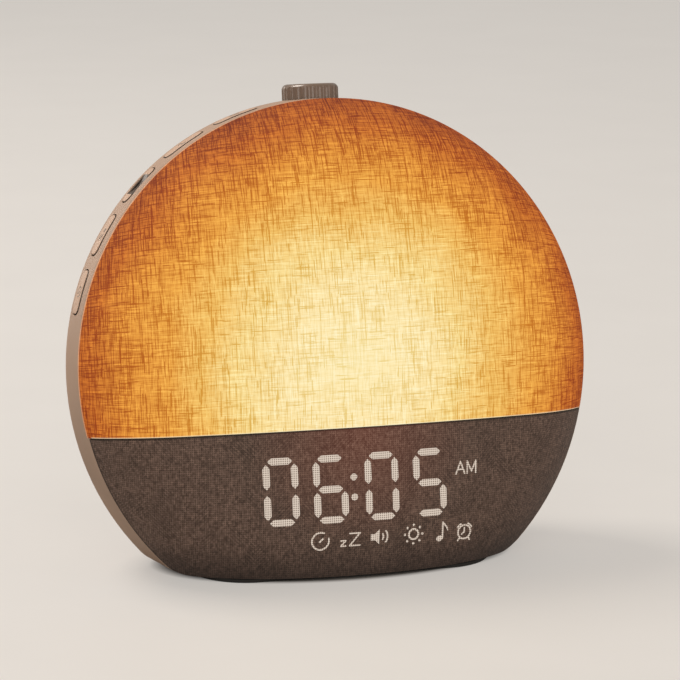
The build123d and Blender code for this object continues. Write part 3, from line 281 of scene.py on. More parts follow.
def key_gap_painted_shade(shader, point, top, fade):
    """Painted shade: 1 down in the gaps round the side keys and in the light key's dish, 0 above the radius
    top and on the rest of the body.
    """
    from_middle = shader.vector("SUBTRACT", point, tuple(RIM_CENTRE / MM))
    sideways = shader.vector("DOT_PRODUCT", from_middle, tuple(RIGHT))
    height = shader.vector("DOT_PRODUCT", from_middle, tuple(UPWARD))
    depth = shader.vector("DOT_PRODUCT", from_middle, tuple(FORWARD))
    across = shader.node("ShaderNodeCombineXYZ", X=sideways, Y=height, Z=0.0)
    gap_shade = shader.span(shader.vector("LENGTH", across.outputs[0]), top - fade, top, 1.0, 0.0)
    gap_shade = shader.math("MULTIPLY", gap_shade, shader.span(sideways, KEYS_RIGHT - KEYS_BLUR, KEYS_RIGHT, 1.0, 0.0))
    gap_shade = shader.math("MULTIPLY", gap_shade, shader.span(height, KEYS_LOW, KEYS_LOW + KEYS_BLUR))
    return shader.math("MULTIPLY", gap_shade, shader.span(depth, KEYS_BACK, KEYS_BACK + KEYS_BLUR / 4))


def moulded(name, colour, roughness=0.5, grain=0.3, relief=0.02, key_top=None, fade=0.3, coat=0.0):
    """Moulded plastic: a fine spark-eroded grain and a faint unevenness of colour. key_top is the radius
    below which painted shade darkens the gaps round the side keys, and coat the share of a clear gloss on
    top."""
    shader = Shader(name, coat_weight=coat, coat_roughness=0.16)
    point = shader.place_mm()
    fine = shader.noise(point, grain, detail=3)
    broad = shader.noise(point, 22.0)
    tone = shader.mix(shader.span(broad, 0.35, 0.65), shade(colour, 0.95), shade(colour, 1.03))
    if key_top:
        # painted shade in the gaps round the side keys
        tone = shader.mix(key_gap_painted_shade(shader, point, key_top, fade), tone, shade(colour, 0.08))
    shader.colour(tone)
    shader.roughness(shader.span(fine, 0.3, 0.7, roughness - 0.06, roughness + 0.06))
    shader.bump(fine, relief)
    return shader.material


def metal(name, colour, roughness=0.35, stretch=(1, 1, 12)):
    """Bare or plated metal with a faint drawn grain."""
    shader = Shader(name, metallic=1.0)
    point = shader.place_mm()
    grain = shader.noise(point, 0.25, detail=3, stretch=stretch)
    stain = shader.noise(point, 9.0)
    shader.colour(shader.mix(shader.span(stain, 0.35, 0.7), shade(colour, 0.82), colour))
    shader.roughness(shader.span(grain, 0.3, 0.7, roughness - 0.08, roughness + 0.1))
    shader.bump(grain, 0.01)
    return shader.material


def circuit(name, colour, tracks):
    """A circuit board: tracks of another shade under a smooth coat."""
    shader = Shader(name, roughness=0.35, coat_weight=0.4)
    point = shader.place_mm()
    bricks = shader.node("ShaderNodeTexBrick", Vector=point, Scale=1.0)
    for key, value in (("Mortar Size", 0.16), ("Brick Width", 5.0), ("Row Height", 2.4)):
        shader.put(bricks.inputs[key], value)
    lines = bricks.outputs["Fac"]
    glass = shader.noise(point, 0.4)
    base = shader.mix(shader.span(glass, 0.3, 0.7), shade(colour, 0.9), colour)
    shader.colour(shader.mix(shader.math("MULTIPLY", lines, 0.5), base, tracks))
    shader.bump(lines, 0.03)
    return shader.material


def porous(name, colour, size=0.5, relief=0.05):
    """Matt rubber, foam or pressed paper."""
    shader = Shader(name)
    point = shader.place_mm()
    pores = shader.noise(point, size, detail=4, roughness=0.7)
    shader.colour(shader.mix(shader.span(pores, 0.35, 0.65), shade(colour, 0.7), colour))
    shader.roughness(shader.span(pores, 0.3, 0.7, 0.8, 0.95))
    shader.bump(pores, relief)
    return shader.material


def milky(name, colour, roughness=0.3):
    """Milky plastic that passes light, or a light source with its cover."""
    shader = Shader(name)
    cloud = shader.noise(shader.place_mm(), 1.5)
    shader.colour(shader.mix(shader.span(cloud, 0.3, 0.7), shade(colour, 0.9), colour))
    shader.roughness(shader.span(cloud, 0.3, 0.7, roughness, roughness + 0.1))
    shader.bump(cloud, 0.01)
    return shader.material


def solid_finishes():
    """The finish of each material slot of the solids."""
    shell = (0.53, 0.363, 0.264)
    # the keys are the shell's colour lightened by 1.28, partly a lighter moulding and partly a painted
    # highlight
    key = shade(shell, 1.28)
    dark = (0.022, 0.021, 0.021)
    steel = (0.62, 0.61, 0.60)
    return {
        "linen": porous("linen_plain", (0.80, 0.66, 0.45)),
        "cloth": porous("cloth_plain", (0.16, 0.13, 0.11)),
        "diffuser": milky("diffuser_opal", (0.86, 0.84, 0.80), 0.35),
        "panel": moulded("panel_black", dark, 0.55),
        "shelf": moulded("shelf_black", dark, 0.6),
        # the housing's slot walls round the side keys get painted shade
        "housing": moulded("housing_sand", shell, 0.55, key_top=RIM_RADIUS + 0.1),
        "pad": porous("pad_rubber", (0.030, 0.028, 0.026)),
        # the keys' sides and the light key's dish get painted shade
        "button": moulded("button_sand", key, 0.52, 0.45, 0.04, key_top=CAP_RADIUS - 0.06, fade=0.16),
        "inlay": moulded("inlay_smoke", (0.10, 0.075, 0.06), 0.3),
        # the knob is the shell's colour darkened to 0.40, painted shade of a knob turned from the light
        "knob": moulded("knob_sand", shade(shell, 0.40), 0.36, coat=0.8),
        "reflector": moulded("reflector_white", (0.86, 0.86, 0.84), 0.3),
        "lamp_board": circuit("lamp_board_white", (0.78, 0.78, 0.76), (0.52, 0.50, 0.44)),
        "led": milky("led_warm", (0.90, 0.62, 0.12), 0.25),
        "board": circuit("board_green", (0.012, 0.085, 0.035), (0.05, 0.20, 0.09)),
        "screw": metal("screw_zinc", steel, 0.3),
        "mask": moulded("mask_black", (0.018, 0.018, 0.019), 0.65),
        "light_pipe": milky("light_pipe_milk", (0.80, 0.80, 0.79), 0.25),
        "display_led": milky("display_led_white", (0.88, 0.86, 0.72), 0.3),
        "chip": moulded("chip_epoxy", (0.028, 0.028, 0.030), 0.45),
        "capacitor": metal("capacitor_can", (0.70, 0.70, 0.71), 0.25),
        "holder": moulded("holder_black", (0.030, 0.030, 0.032), 0.4),
        "cell": metal("cell_steel", (0.66, 0.65, 0.63), 0.22, (6, 1, 1)),
        "ribbon": moulded("ribbon_grey", (0.48, 0.48, 0.47), 0.4),
        "socket": moulded("socket_white", (0.70, 0.68, 0.62), 0.4),
        "inlet": metal("inlet_nickel", (0.58, 0.57, 0.55), 0.28, (1, 8, 1)),
        "gasket": porous("gasket_foam", (0.05, 0.05, 0.05), 0.8, 0.1),
        "basket": metal("basket_zinc", (0.42, 0.42, 0.43), 0.4),
        "surround": porous("surround_rubber", (0.028, 0.028, 0.028), 0.3, 0.02),
        "cone": porous("cone_paper", (0.06, 0.058, 0.055), 0.4, 0.04),
        "magnet": metal("magnet_ferrite", (0.16, 0.16, 0.17), 0.5),
        "bracket": moulded("bracket_grey", (0.30, 0.30, 0.31), 0.5),
        "flex": circuit("flex_amber", (0.42, 0.19, 0.03), (0.60, 0.33, 0.10)),
        "switch": moulded("switch_black", (0.025, 0.025, 0.027), 0.35),
        "plunger": moulded("plunger_grey", (0.14, 0.14, 0.15), 0.4),
        "encoder": metal("encoder_can", (0.60, 0.60, 0.59), 0.3),
        "rotor": moulded("rotor_black", (0.03, 0.03, 0.03), 0.35),
        "nut": metal("nut_nickel", (0.64, 0.62, 0.58), 0.25),
        "shaft": moulded("shaft_acetal", (0.62, 0.60, 0.56), 0.35),
    }


# ---------------------------------------------------------------- cloths
GLOW_MIDDLE = (-2.0, 1.0)  # the lamp's bright middle on the face
GLOW_REACH = 104.0
GLOW = (  # light through the linen, by shares of that reach from the middle
    (0.00, (0.94, 0.84, 0.50)),
    (0.25, (0.94, 0.81, 0.44)),
    (0.40, (0.91, 0.72, 0.29)),
    (0.53, (0.86, 0.54, 0.135)),
    (0.66, (0.82, 0.390, 0.060)),
    (0.78, (0.73, 0.285, 0.034)),
    (0.89, (0.54, 0.142, 0.013)),
    (1.00, (0.335, 0.057, 0.004)),
)
# what thick and sheer threads leave of that light, by the same shares
THICK_SHADES = ((0.0, (0.90, 0.80, 0.52)), (0.5, (0.72, 0.50, 0.18)), (1.0, (0.40, 0.14, 0.05)))
SHEER_SHADES = ((0.0, (1.0, 1.05, 1.2)), (0.5, (1.10, 1.28, 1.7)), (1.0, (1.5, 1.85, 2.2)))
TOP_DIM = 0.065  # the light falls off this much sooner at the top, over these heights above the floor
TOP_HEIGHTS = (110.0, 165.0)
WRAP_COLOUR = (0.34, 0.115, 0.040)
# painted highlight along the linen's rolled edge at the tuck
TUCK_HIGHLIGHT = (1.0, 0.88, 0.60)
LINEN_PITCH = 0.62
LINEN_DRIFT = 0.6  # how far the linen's threads wander
FINE_THREADS = (  # share, pitch, length, noise span, across, seed
    (0.36, 0.31, 5.0, (0.48, 0.66), False, 3.1),
    (0.28, 0.33, 5.0, (0.48, 0.66), True, 9.4),
    (0.50, 0.30, 15.0, (0.58, 0.64), False, 14.3),
    (0.32, 0.32, 15.0, (0.57, 0.64), True, 17.9),
)
BOLD_THREADS = (
    (1.80, 0.31, 14.0, (0.66, 0.70), False, 21.7),
    (0.90, 0.31, 13.0, (0.67, 0.72), True, 35.2),
)
SHEER_THREADS = (
    (0.34, 8.0, (0.54, 0.70), False, 51.3),
    (0.36, 13.0, (0.52, 0.68), True, 63.8),
)
THREAD_STEP = 5.37  # from thread to thread in the noise, far enough for neighbours to differ

CLOTH_PITCH = 0.78
FLECK_PITCH = 0.62
FLECKS = ((1.3, True, 4.2), (2.0, False, 8.8))  # length, across, seed
TWILL_WIDTH = 13.0  # of a herringbone stripe
TWILL_PACE = 4.4
FOOT_SHADE_HEIGHTS = (2.0, 15.0)  # painted shade darkens the cloth over these heights above the floor
BLEED_REACH = 42.0  # how far the lamp's light bleeds into the cloth from the division
DOT_PITCH = 0.78


def woven(shader, threads, pitch):
    """A plain weave: how high the cloth stands, and where two threads cross low and leave a dark dot."""
    wave = shader.vector("SCALE", threads, math.pi / pitch)
    axes = shader.node("ShaderNodeSeparateXYZ", Vector=wave)
    warp = shader.math("ABSOLUTE", shader.math("SINE", axes.outputs["X"]))
    weft = shader.math("ABSOLUTE", shader.math("SINE", axes.outputs["Y"]))
    return shader.math("MAXIMUM", warp, weft), shader.math("MULTIPLY", warp, weft)


def thread_marks(shader, threads, pitch, length, noise_span, across, seed):
    """Dashes on single threads, as 0..1: each thread, pitch wide, has its own marks of about length, where
    its noise rises through noise_span. The threads run up the cloth, or across it."""
    axes = shader.node("ShaderNodeSeparateXYZ", Vector=threads)
    order, along = ("Y", "X") if across else ("X", "Y")
    thread = shader.math("FLOOR", shader.math("DIVIDE", axes.outputs[order], pitch))
    run = shader.math("DIVIDE", axes.outputs[along], length)
    own = shader.math("MULTIPLY", thread, THREAD_STEP)
    point = shader.node("ShaderNodeCombineXYZ", X=own, Y=run, Z=seed)
    node = shader.node("ShaderNodeTexNoise", Vector=point.outputs[0], Scale=1.0, Detail=1.0)
    return shader.span(node.outputs["Fac"], *noise_span)


def add_threads(shader, thick, threads, layers):
    """Adds layers of thread marks, each with its share, to how thick the cloth is."""
    for share, *layer in layers:
        marks = thread_marks(shader, threads, *layer)
        thick = shader.math("ADD", thick, shader.math("MULTIPLY", marks, share))
    return thick


def linen_finish():
    """Slub linen lit from behind: pale honey in the middle, burnt orange at the rim."""
    shader = Shader("linen_lit", roughness=0.9, emission_strength=1.0)
    threads = shader.attribute("threads", "Vector")
    wander = shader.node("ShaderNodeTexNoise", Vector=threads, Scale=0.045, Detail=2.0)
    centred = shader.vector("SUBTRACT", wander.outputs["Color"], (0.5, 0.5, 0.5))
    drifted = shader.vector("ADD", threads, shader.vector("SCALE", centred, LINEN_DRIFT))
    height, _ = woven(shader, drifted, LINEN_PITCH)
    clumps = shader.span(shader.noise(threads, 13.0, detail=2), 0.35, 0.65, 0.70, 1.10)
    thick = shader.math("MULTIPLY", add_threads(shader, 0.0, drifted, FINE_THREADS), clumps)
    thick = add_threads(shader, thick, drifted, BOLD_THREADS)
    sheer = shader.math("MAXIMUM", *(thread_marks(shader, drifted, *layer) for layer in SHEER_THREADS))

    middle = place(*GLOW_MIDDLE, dome_depth(0)) / MM
    point = shader.place_mm()
    distance = shader.vector("DISTANCE", point, tuple(middle))
    uneven = shader.noise(threads, 30.0, detail=3)
    distance = shader.math("ADD", distance, shader.span(uneven, 0.3, 0.7, -4.0, 4.0))
    reach = shader.math("DIVIDE", distance, GLOW_REACH)
    level = shader.node("ShaderNodeSeparateXYZ", Vector=point).outputs["Z"]
    reach = shader.math("ADD", reach, shader.span(level, *TOP_HEIGHTS, 0.0, TOP_DIM))
    glow = shader.ramp(reach, GLOW)
    thick = shader.math("MULTIPLY", thick, shader.span(reach, 0.45, 0.95, 0.95, 1.6))
    thick = shader.math("ADD", thick, shader.math("MULTIPLY", height, 0.10), clamp=True)
    shaded = shader.mix(thick, glow, shader.mix(1.0, glow, shader.ramp(reach, THICK_SHADES), "MULTIPLY"))
    opened = shader.mix(1.0, shaded, shader.ramp(reach, SHEER_SHADES), "MULTIPLY")
    shaded = shader.mix(shader.math("MULTIPLY", sheer, 0.75), shaded, opened)
    edge, foot = shader.attribute("edge"), shader.attribute("foot")
    wrapped = shader.span(foot, WRAP - 0.6, WRAP - 0.15, 1.0, 0.0)
    on_face = shader.span(foot, WRAP + 0.5, WRAP + 0.8)
    # a painted highlight glows along the linen's rolled edge at the tuck, away from the rim
    tuck_highlight = shader.math("MULTIPLY", shader.span(edge, 0.05, 0.5, 0.8, 0.0), on_face)
    shader.glow(shader.mix(wrapped, shader.mix(tuck_highlight, shaded, TUCK_HIGHLIGHT), WRAP_COLOUR))
    base = shader.mix(thick, (0.13, 0.05, 0.012), (0.05, 0.02, 0.006))
    shader.colour(shader.mix(wrapped, base, shader.mix(thick, (0.56, 0.38, 0.24), (0.36, 0.22, 0.13))))
    shader.bump(shader.math("ADD", shader.math("MULTIPLY", height, 0.5), thick), 0.12)
    return shader.material


def cloth_finish():
    """Heathered grey-brown cloth, finely woven, with a ghost of herringbone, and painted shade along its
    foot.
    """
    sheen = {"sheen_weight": 0.12, "sheen_roughness": 0.5}
    shader = Shader("cloth_heather", roughness=0.92, emission_strength=1.0, **sheen)
    threads = shader.attribute("threads", "Vector")
    height, gaps = woven(shader, threads, CLOTH_PITCH)
    weft, warp = (
        thread_marks(shader, threads, FLECK_PITCH, length, (0.38, 0.62), across, seed)
        for length, across, seed in FLECKS
    )
    flecks = shader.math("MULTIPLY", shader.math("ADD", weft, warp), 0.5)
    broad = shader.noise(threads, 14.0, detail=3)
    axes = shader.node("ShaderNodeSeparateXYZ", Vector=threads)
    slant = shader.math("ADD", axes.outputs["Y"], shader.math("PINGPONG", axes.outputs["X"], TWILL_WIDTH))
    twill = shader.math("SINE", shader.math("MULTIPLY", slant, TWILL_PACE))
    patches = shader.noise(threads, 11.0, detail=1, shift=(4, 2, 0))
    twill = shader.math("MULTIPLY", shader.span(twill, -0.5, 0.7), shader.span(patches, 0.47, 0.62))
    tone = shader.mix(flecks, (0.100, 0.062, 0.046), (0.345, 0.228, 0.178))
    tone = shader.mix(shader.math("MULTIPLY", twill, 0.45), tone, (0.044, 0.029, 0.022))
    tone = shader.mix(shader.span(broad, 0.35, 0.65, 0.0, 0.25), tone, (0.175, 0.113, 0.088))
    tone = shader.mix(shader.math("MULTIPLY", gaps, 0.80), tone, (0.050, 0.032, 0.025))
    # painted shade: the cloth turns almost black near its edges, in the groove at the tuck and along the rim
    rim = shader.span(shader.attribute("edge"), 0.15, 0.6, 0.9, 0.0)
    tone = shader.mix(rim, tone, (0.012, 0.006, 0.004))
    point = shader.place_mm()
    level = shader.node("ShaderNodeSeparateXYZ", Vector=point).outputs["Z"]
    # painted shade towards the floor
    foot_shade = shader.span(level, *FOOT_SHADE_HEIGHTS, 0.60, 0.0)
    shader.colour(shader.mix(foot_shade, tone, (0.018, 0.012, 0.010)))
    bleed = place(0.0, DIVISION, dome_depth(abs(DIVISION))) / MM
    near = shader.math("DIVIDE", shader.vector("DISTANCE", point, tuple(bleed)), BLEED_REACH)
    shader.glow(shader.ramp(near, ((0.0, (0.060, 0.009, 0.004)), (1.0, (0, 0, 0)))))
    shader.bump(shader.math("ADD", height, flecks), 0.10)
    return shader.material


def mark_finish():
    """Light that comes through the cloth: warm white, broken into dots by the threads."""
    shader = Shader("display_light", roughness=0.9, emission_strength=1.0)
    threads = shader.attribute("threads", "Vector")
    height, gaps = woven(shader, threads, DOT_PITCH)
    fibre = shader.noise(threads, 0.5)
    dots = shader.math("MULTIPLY", shader.span(gaps, 0.22, 0.72), shader.span(fibre, 0.3, 0.7, 0.65, 1.0))
    shader.glow(shader.mix(dots, (0.70, 0.595, 0.50), (0.16, 0.115, 0.085)))
    shader.colour(shader.mix(dots, (0.10, 0.09, 0.08), (0.04, 0.03, 0.025)))
    shader.bump(height, 0.08)
    return shader.material


def print_finish():
    """Grey pad printing on a key, slightly worn."""
    shader = Shader("key_print")
    wear = shader.noise(shader.place_mm(), 0.6, detail=3)
    shader.colour(shader.mix(shader.span(wear, 0.35, 0.7), (0.20, 0.17, 0.15), (0.34, 0.29, 0.25)))
    shader.roughness(shader.span(wear, 0.3, 0.7, 0.5, 0.7))
    shader.bump(wear, 0.01)
    return shader.material


EDGE_ROLL = 0.35  # the cloths turn in round this radius at their edges
SEAM_ROLL = 0.45  # and round this one at the tuck between them
EDGE_STEPS = (0.0, 0.1, 0.25, 0.45, 0.7, 1.0)
WRAP_RUNS = (0.14, 0.28, 0.42, 0.8, 1.2, 1.65, 1.75, 1.85, 1.94, WRAP)  # rows past the rim
CLOTH_THICKNESS = 0.5
LINEN_COLUMNS = 361
CLOTH_COLUMNS = 281
COLUMN_ROWS = 110
CORNER_SHARE = 0.999  # keeps the linen's first and last columns from shrinking to nothing
SIDE_GAP = 0.02  # between the lower cloth's tips and the rim
HALVINGS = 40


def rolled_in(distance, radius):
    """How far a cloth sinks at a distance from an edge that turns in round a radius."""
    left = max(radius - max(distance, 0.0), 0.0)
    return radius - math.sqrt(radius**2 - left**2)


def spread(low, high, count, unit=1.0):
    """Places from low to high, close together near both ends, with the edge's steps scaled by unit."""
    steps = [unit * step for step in EDGE_STEPS]
    inner = np.linspace(low + steps[-1], high - steps[-1], count)
    return [low + s for s in steps[:-1]] + list(inner) + [high - s for s in reversed(steps[:-1])]


def outline_distance(x, y):
    """How far inside the body's outline a point of the rim's plane lies."""
    x = abs(x)
    if x > CORNER_X and y * CORNER_X < CORNER_Y * x:
        return CORNER_RADIUS - math.hypot(x - CORNER_X, y - CORNER_Y)
    return min(RIM_RADIUS - math.hypot(x, y), y - FLOOR_Y)


def foot_of_dome(x):
    """Where the dome's skin below the division meets the body's outline at x."""
    low = -math.sqrt(RIM_RADIUS**2 - x**2)
    high = DIVISION
    for _ in range(HALVINGS):
        middle = (low + high) / 2
        if outline_distance(x, middle + dome_depth(math.hypot(x, middle)) * math.tan(LEAN)) < 0:
            low = middle
        else:
            high = middle
    return high


def stretched_sheet(name, columns, material, tuck, edge_of, replaced):
    """A cloth over the dome from columns of points, each a list of (x, y), that all have one length. Its
    edges turn in where edge_of(x, y) is 0 and at the tuck, the line y = tuck. It hides the node replaced
    and moves with the case."""
    points, cloth, edge, foot = [], [], [], []
    for column in columns:
        for x, y in column:
            rim, fold = edge_of(x, y), abs(y - tuck)
            sink = max(rolled_in(rim, EDGE_ROLL), rolled_in(fold, SEAM_ROLL))
            points.append(on_dome(x, y, -sink))
            cloth.append(unrolled(x, y))
            edge.append(min(RIM_RADIUS - math.hypot(x, y), fold))
            foot.append(rim)
    faces = grid_faces(len(columns), len(columns[0]))
    sheet = add_mesh(name, points, faces, material, cloth, edge=edge, foot=foot)
    body = sheet.modifiers.new("thickness", "SOLIDIFY")
    body.thickness = CLOTH_THICKNESS * MM
    body.offset = -1
    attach(sheet, "case")
    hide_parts(replaced)


def wrap_distance(x, y):
    """How far inside the linen's edge, which lies past the rim, a point is."""
    return RIM_RADIUS + WRAP - math.hypot(x, y)


def foot_distance(x, y):
    """How far inside the lower cloth's edge, at the body's outline, a point of the dome is."""
    radius = min(math.hypot(x, y), RIM_RADIUS)
    return min(outline_distance(x, y + dome_depth(radius) * math.tan(LEAN)), RIM_RADIUS - radius)


def linen_columns():
    """Points of the upper cloth: columns fan out from the division to the rim, and on past it."""
    start = math.asin(LINEN_FOOT / RIM_RADIUS)
    half = RIM_RADIUS * math.cos(start)
    inner = spread(0.0, 1.0, COLUMN_ROWS, 1 / RIM_RADIUS)
    outer = [1 + run / RIM_RADIUS for run in WRAP_RUNS]
    columns = []
    for share in np.linspace(0.0, 1.0, LINEN_COLUMNS):
        angle = start + (math.pi - 2 * start) * share
        rim_x, rim_y = RIM_RADIUS * math.cos(angle), RIM_RADIUS * math.sin(angle)
        foot_x = CORNER_SHARE * half * math.cos(math.pi * share)
        column = [(foot_x + (rim_x - foot_x) * t, LINEN_FOOT + (rim_y - LINEN_FOOT) * t) for t in inner]
        columns.append(column + [(rim_x * t, rim_y * t) for t in outer])
    return columns


def cloth_columns():
    """Points of the lower cloth: columns from its foot up to the division."""
    widest = math.sqrt(RIM_RADIUS**2 - CLOTH_TOP**2) - SIDE_GAP
    shares = (1 - np.cos(np.linspace(0, math.pi, COLUMN_ROWS))) / 2
    columns = []
    for x in widest * np.sin(np.linspace(math.pi / 2, -math.pi / 2, CLOTH_COLUMNS)):
        foot = foot_of_dome(x)
        columns.append([(x, foot + (CLOTH_TOP - foot) * share) for share in shares])
    return columns


# ---------------------------------------------------------------- drawing with ribbons
THINNEST = 0.02  # half width where a ribbon closes to a point
END_POINTS = 5  # points of a stroke's round end
DOT_POINTS = 15
ARC_STEP = 0.4  # length of an arc's straight pieces


class Drawing:
    """Thin raised shapes drawn as ribbons on a surface that lay(x, y, lift) describes."""

    def __init__(self, lay, lift, sink, threads=None):
        self.lay, self.lift, self.sink, self.threads = lay, lift, sink, threads
        self.points, self.faces, self.cloth = [], [], []

    def ribbon(self, path, widths, closed=False):
        """A ribbon along path, a list of (x, y), with a half width at each of its points."""
        start, count = len(self.points), len(path)
        for i, ((x, y), half) in enumerate(zip(path, widths)):
            before = path[i - 1] if i or closed else path[0]
            after = path[(i + 1) % count] if i < count - 1 or closed else path[-1]
            along = Vector((after[0] - before[0], after[1] - before[1])).normalized()
            for side, lift in ((1, self.lift), (-1, self.lift), (-1, -self.sink), (1, -self.sink)):
                px, py = x - side * half * along.y, y + side * half * along.x
                self.points.append(self.lay(px, py, lift))
                if self.threads:
                    self.cloth.append(self.threads(px, py))
        for i in range(count if closed else count - 1):
            a, b = start + 4 * i, start + 4 * ((i + 1) % count)
            self.faces += [(a + k, a + (k + 1) % 4, b + (k + 1) % 4, b + k) for k in range(4)]
        if not closed:
            last = start + 4 * (count - 1)
            self.faces += [(start + 3, start + 2, start + 1, start), (last, last + 1, last + 2, last + 3)]

    def line(self, start, end, half):
        """A straight stroke with round ends."""
        (x0, y0), (x1, y1) = start, end
        length = math.hypot(x1 - x0, y1 - y0)
        places = [-half * math.cos(a) for a in np.linspace(0, math.pi / 2, END_POINTS)]
        places += list(np.linspace(0, length, max(int(length), 2) + 1)[1:-1])
        places += [length + half * math.sin(a) for a in np.linspace(0, math.pi / 2, END_POINTS)]
        overs = [max(-p, p - length, 0.0) for p in places]
        path = [(x0 + (x1 - x0) * p / length, y0 + (y1 - y0) * p / length) for p in places]
        self.ribbon(path, [max(math.sqrt(max(half**2 - over**2, 0.0)), THINNEST) for over in overs])

    def arc(self, x, y, radius, half, start=0.0, sweep=360.0):
        """A stroke along an arc, in degrees from the right and anticlockwise."""
        closed = sweep >= 360.0
        count = max(int(radius * math.radians(sweep) / ARC_STEP), 8)
        angles = np.radians(np.linspace(start, start + sweep, count + 1))
        path = [(x + radius * math.cos(a), y + radius * math.sin(a)) for a in angles]
        if closed:
            path = path[:-1]
        self.ribbon(path, [half] * len(path), closed)

    def dot(self, x, y, across, up=None, turn=0.0):
        """A filled ellipse with two half axes, turned by an angle."""
        up = up or across
        places = np.cos(np.linspace(math.pi, 0, DOT_POINTS))
        path = [(x + across * p * math.cos(turn), y + across * p * math.sin(turn)) for p in places]
        self.ribbon(path, [max(up * math.sqrt(max(1 - p**2, 0.0)), THINNEST) for p in places])

    def piece(self, name, material, body, slot):
        """Makes one mesh of all that is drawn, which moves with a body."""
        piece = add_mesh(name, self.points, self.faces, material, self.cloth)
        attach(piece, body)


# ---------------------------------------------------------------- display
DIGIT_PLACES = (-29.8, -11.9, 7.1, 25.4)
DIGIT_MIDDLE = -42.45
DIGIT_WIDTH = 10.1
DIGIT_HEIGHT = 22.0
DIGIT_SLANT = -0.055  # the tops stand to the left
SEGMENT_LENGTH = 8.8
SEGMENT_HALF = 1.24
SEGMENT_TAPER = 1.5  # length of a segment's tapered ends
TAPER_POWER = 1.5
TAPER_STEPS = (0.0, 0.12, 0.3, 0.5, 0.75, 1.0)
SEGMENT_TIP = 0.12  # half width at the very end
TIME_SHOWN = "0605"
LIT = {"0": "abcdef", "6": "acdefg", "5": "acdfg"}
COLON_PLACE = -3.3
COLON_MIDDLE = DIGIT_MIDDLE + 0.3
COLON_SPREAD = 3.6
COLON_RADIUS = 1.25
STROKE = 0.29  # half width of the letters' and icons' strokes


def draw_segment(drawing, x, y, upright):
    """One segment of a digit, with tapered ends, leaning with the digits."""
    ends = [SEGMENT_LENGTH / 2 - SEGMENT_TAPER * step for step in TAPER_STEPS]
    places = [-p for p in ends] + list(np.linspace(-ends[-1], ends[-1], 8)[1:-1]) + ends[::-1]
    path, widths = [], []
    for p in places:
        px, py = (x, y + p) if upright else (x + p, y)
        path.append((px + DIGIT_SLANT * (py - DIGIT_MIDDLE), py))
        taper = max(abs(p) - ends[-1], 0.0) / SEGMENT_TAPER
        widths.append(max(SEGMENT_HALF * (1 - taper**TAPER_POWER), SEGMENT_TIP))
    drawing.ribbon(path, widths)


def draw_digit(drawing, character, x):
    """A seven-segment digit."""
    side, half_up, quarter = DIGIT_WIDTH / 2, DIGIT_HEIGHT / 2, DIGIT_HEIGHT / 4
    places = {
        "a": (x, DIGIT_MIDDLE + half_up, False),
        "b": (x + side, DIGIT_MIDDLE + quarter, True),
        "c": (x + side, DIGIT_MIDDLE - quarter, True),
        "d": (x, DIGIT_MIDDLE - half_up, False),
        "e": (x - side, DIGIT_MIDDLE - quarter, True),
        "f": (x - side, DIGIT_MIDDLE + quarter, True),
        "g": (x, DIGIT_MIDDLE, False),
    }
    for segment in LIT[character]:
        draw_segment(drawing, *places[segment])


def draw_path(drawing, x, y, width, height, spots, half):
    """Straight strokes from spot to spot of a box with its lower left at x, y."""
    corners = [(x + width * u, y + height * v) for u, v in spots]
    for start, end in zip(corners, corners[1:]):
        drawing.line(start, end, half)


def draw_letters(drawing, x, y, height, half):
    """The letters for the first half of the day, x and y at their lower left."""
    width = height * 0.8
    draw_path(drawing, x, y, width, height, ((0, 0), (0.5, 1), (1, 0)), half)
    draw_path(drawing, x, y, width, height, ((0.2, 0.36), (0.8, 0.36)), half)
    second = x + width * 1.28
    draw_path(drawing, second, y, width, height, ((0, 0), (0, 1), (0.5, 0.15), (1, 1), (1, 0)), half)


def draw_timer(drawing, x, y, size, half):
    """An open ring with a hand."""
    drawing.arc(x, y, size / 2, half, 62.0, 318.0)
    drawing.line((x - size * 0.05, y - size * 0.05), (x + size * 0.16, y + size * 0.14), half)


def draw_sleep(drawing, x, y, size, half):
    """A small and a large letter z."""
    z = ((0, 1), (1, 1), (0, 0), (1, 0))
    draw_path(drawing, x - size * 0.75, y - size * 0.5, size * 0.42, size * 0.42, z, half)
    draw_path(drawing, x, y - size * 0.5, size * 0.85, size, z, half)


def draw_speaker(drawing, x, y, size, half):
    """A loudspeaker with two sound waves."""
    back, front = x - size * 0.62, x - size * 0.05
    box, mouth = size * 0.2, size * 0.48
    path = [(back, y), (back + size * 0.28, y), (back + size * 0.281, y), (front, y)]
    drawing.ribbon(path, [box, box, box, mouth])
    for step in (0.3, 0.58):
        drawing.arc(front - size * 0.02, y, size * step, half, -42.0, 84.0)


def draw_sun(drawing, x, y, size, half):
    """A ring with eight dots round it."""
    drawing.arc(x, y, size * 0.25, half * 1.1)
    for i in range(8):
        angle = math.radians(45 * i)
        drawing.dot(x + size * 0.46 * math.cos(angle), y + size * 0.46 * math.sin(angle), half * 1.5)


def draw_note(drawing, x, y, size, half):
    """A quaver."""
    stem = x + size * 0.10
    drawing.dot(stem - size * 0.16, y - size * 0.36, size * 0.19, size * 0.145, 0.35)
    drawing.line((stem, y - size * 0.34), (stem, y + size * 0.48), half)
    turns = np.linspace(0, 1.5, 8)
    flag = [(stem + size * 0.30 * math.sin(a), y + size * (0.48 - 0.30 * a)) for a in turns]
    drawing.ribbon(flag, list(np.linspace(half * 1.3, half * 0.6, len(turns))))


def draw_alarm(drawing, x, y, size, half):
    """A twin-bell alarm clock."""
    middle, radius = y - size * 0.05, size * 0.36
    drawing.arc(x, middle, radius, half)
    drawing.line((x, middle), (x, middle + radius * 0.6), half * 0.9)
    drawing.line((x, middle), (x - radius * 0.4, middle - radius * 0.3), half * 0.9)
    for side in (-1, 1):
        drawing.arc(x, middle, radius + half * 2.6, half, 90 + side * 42 - 20, 40.0)
        foot = (x + side * radius * 0.72, middle - radius * 0.85)
        drawing.line(foot, (foot[0] + side * size * 0.08, foot[1] - size * 0.12), half)


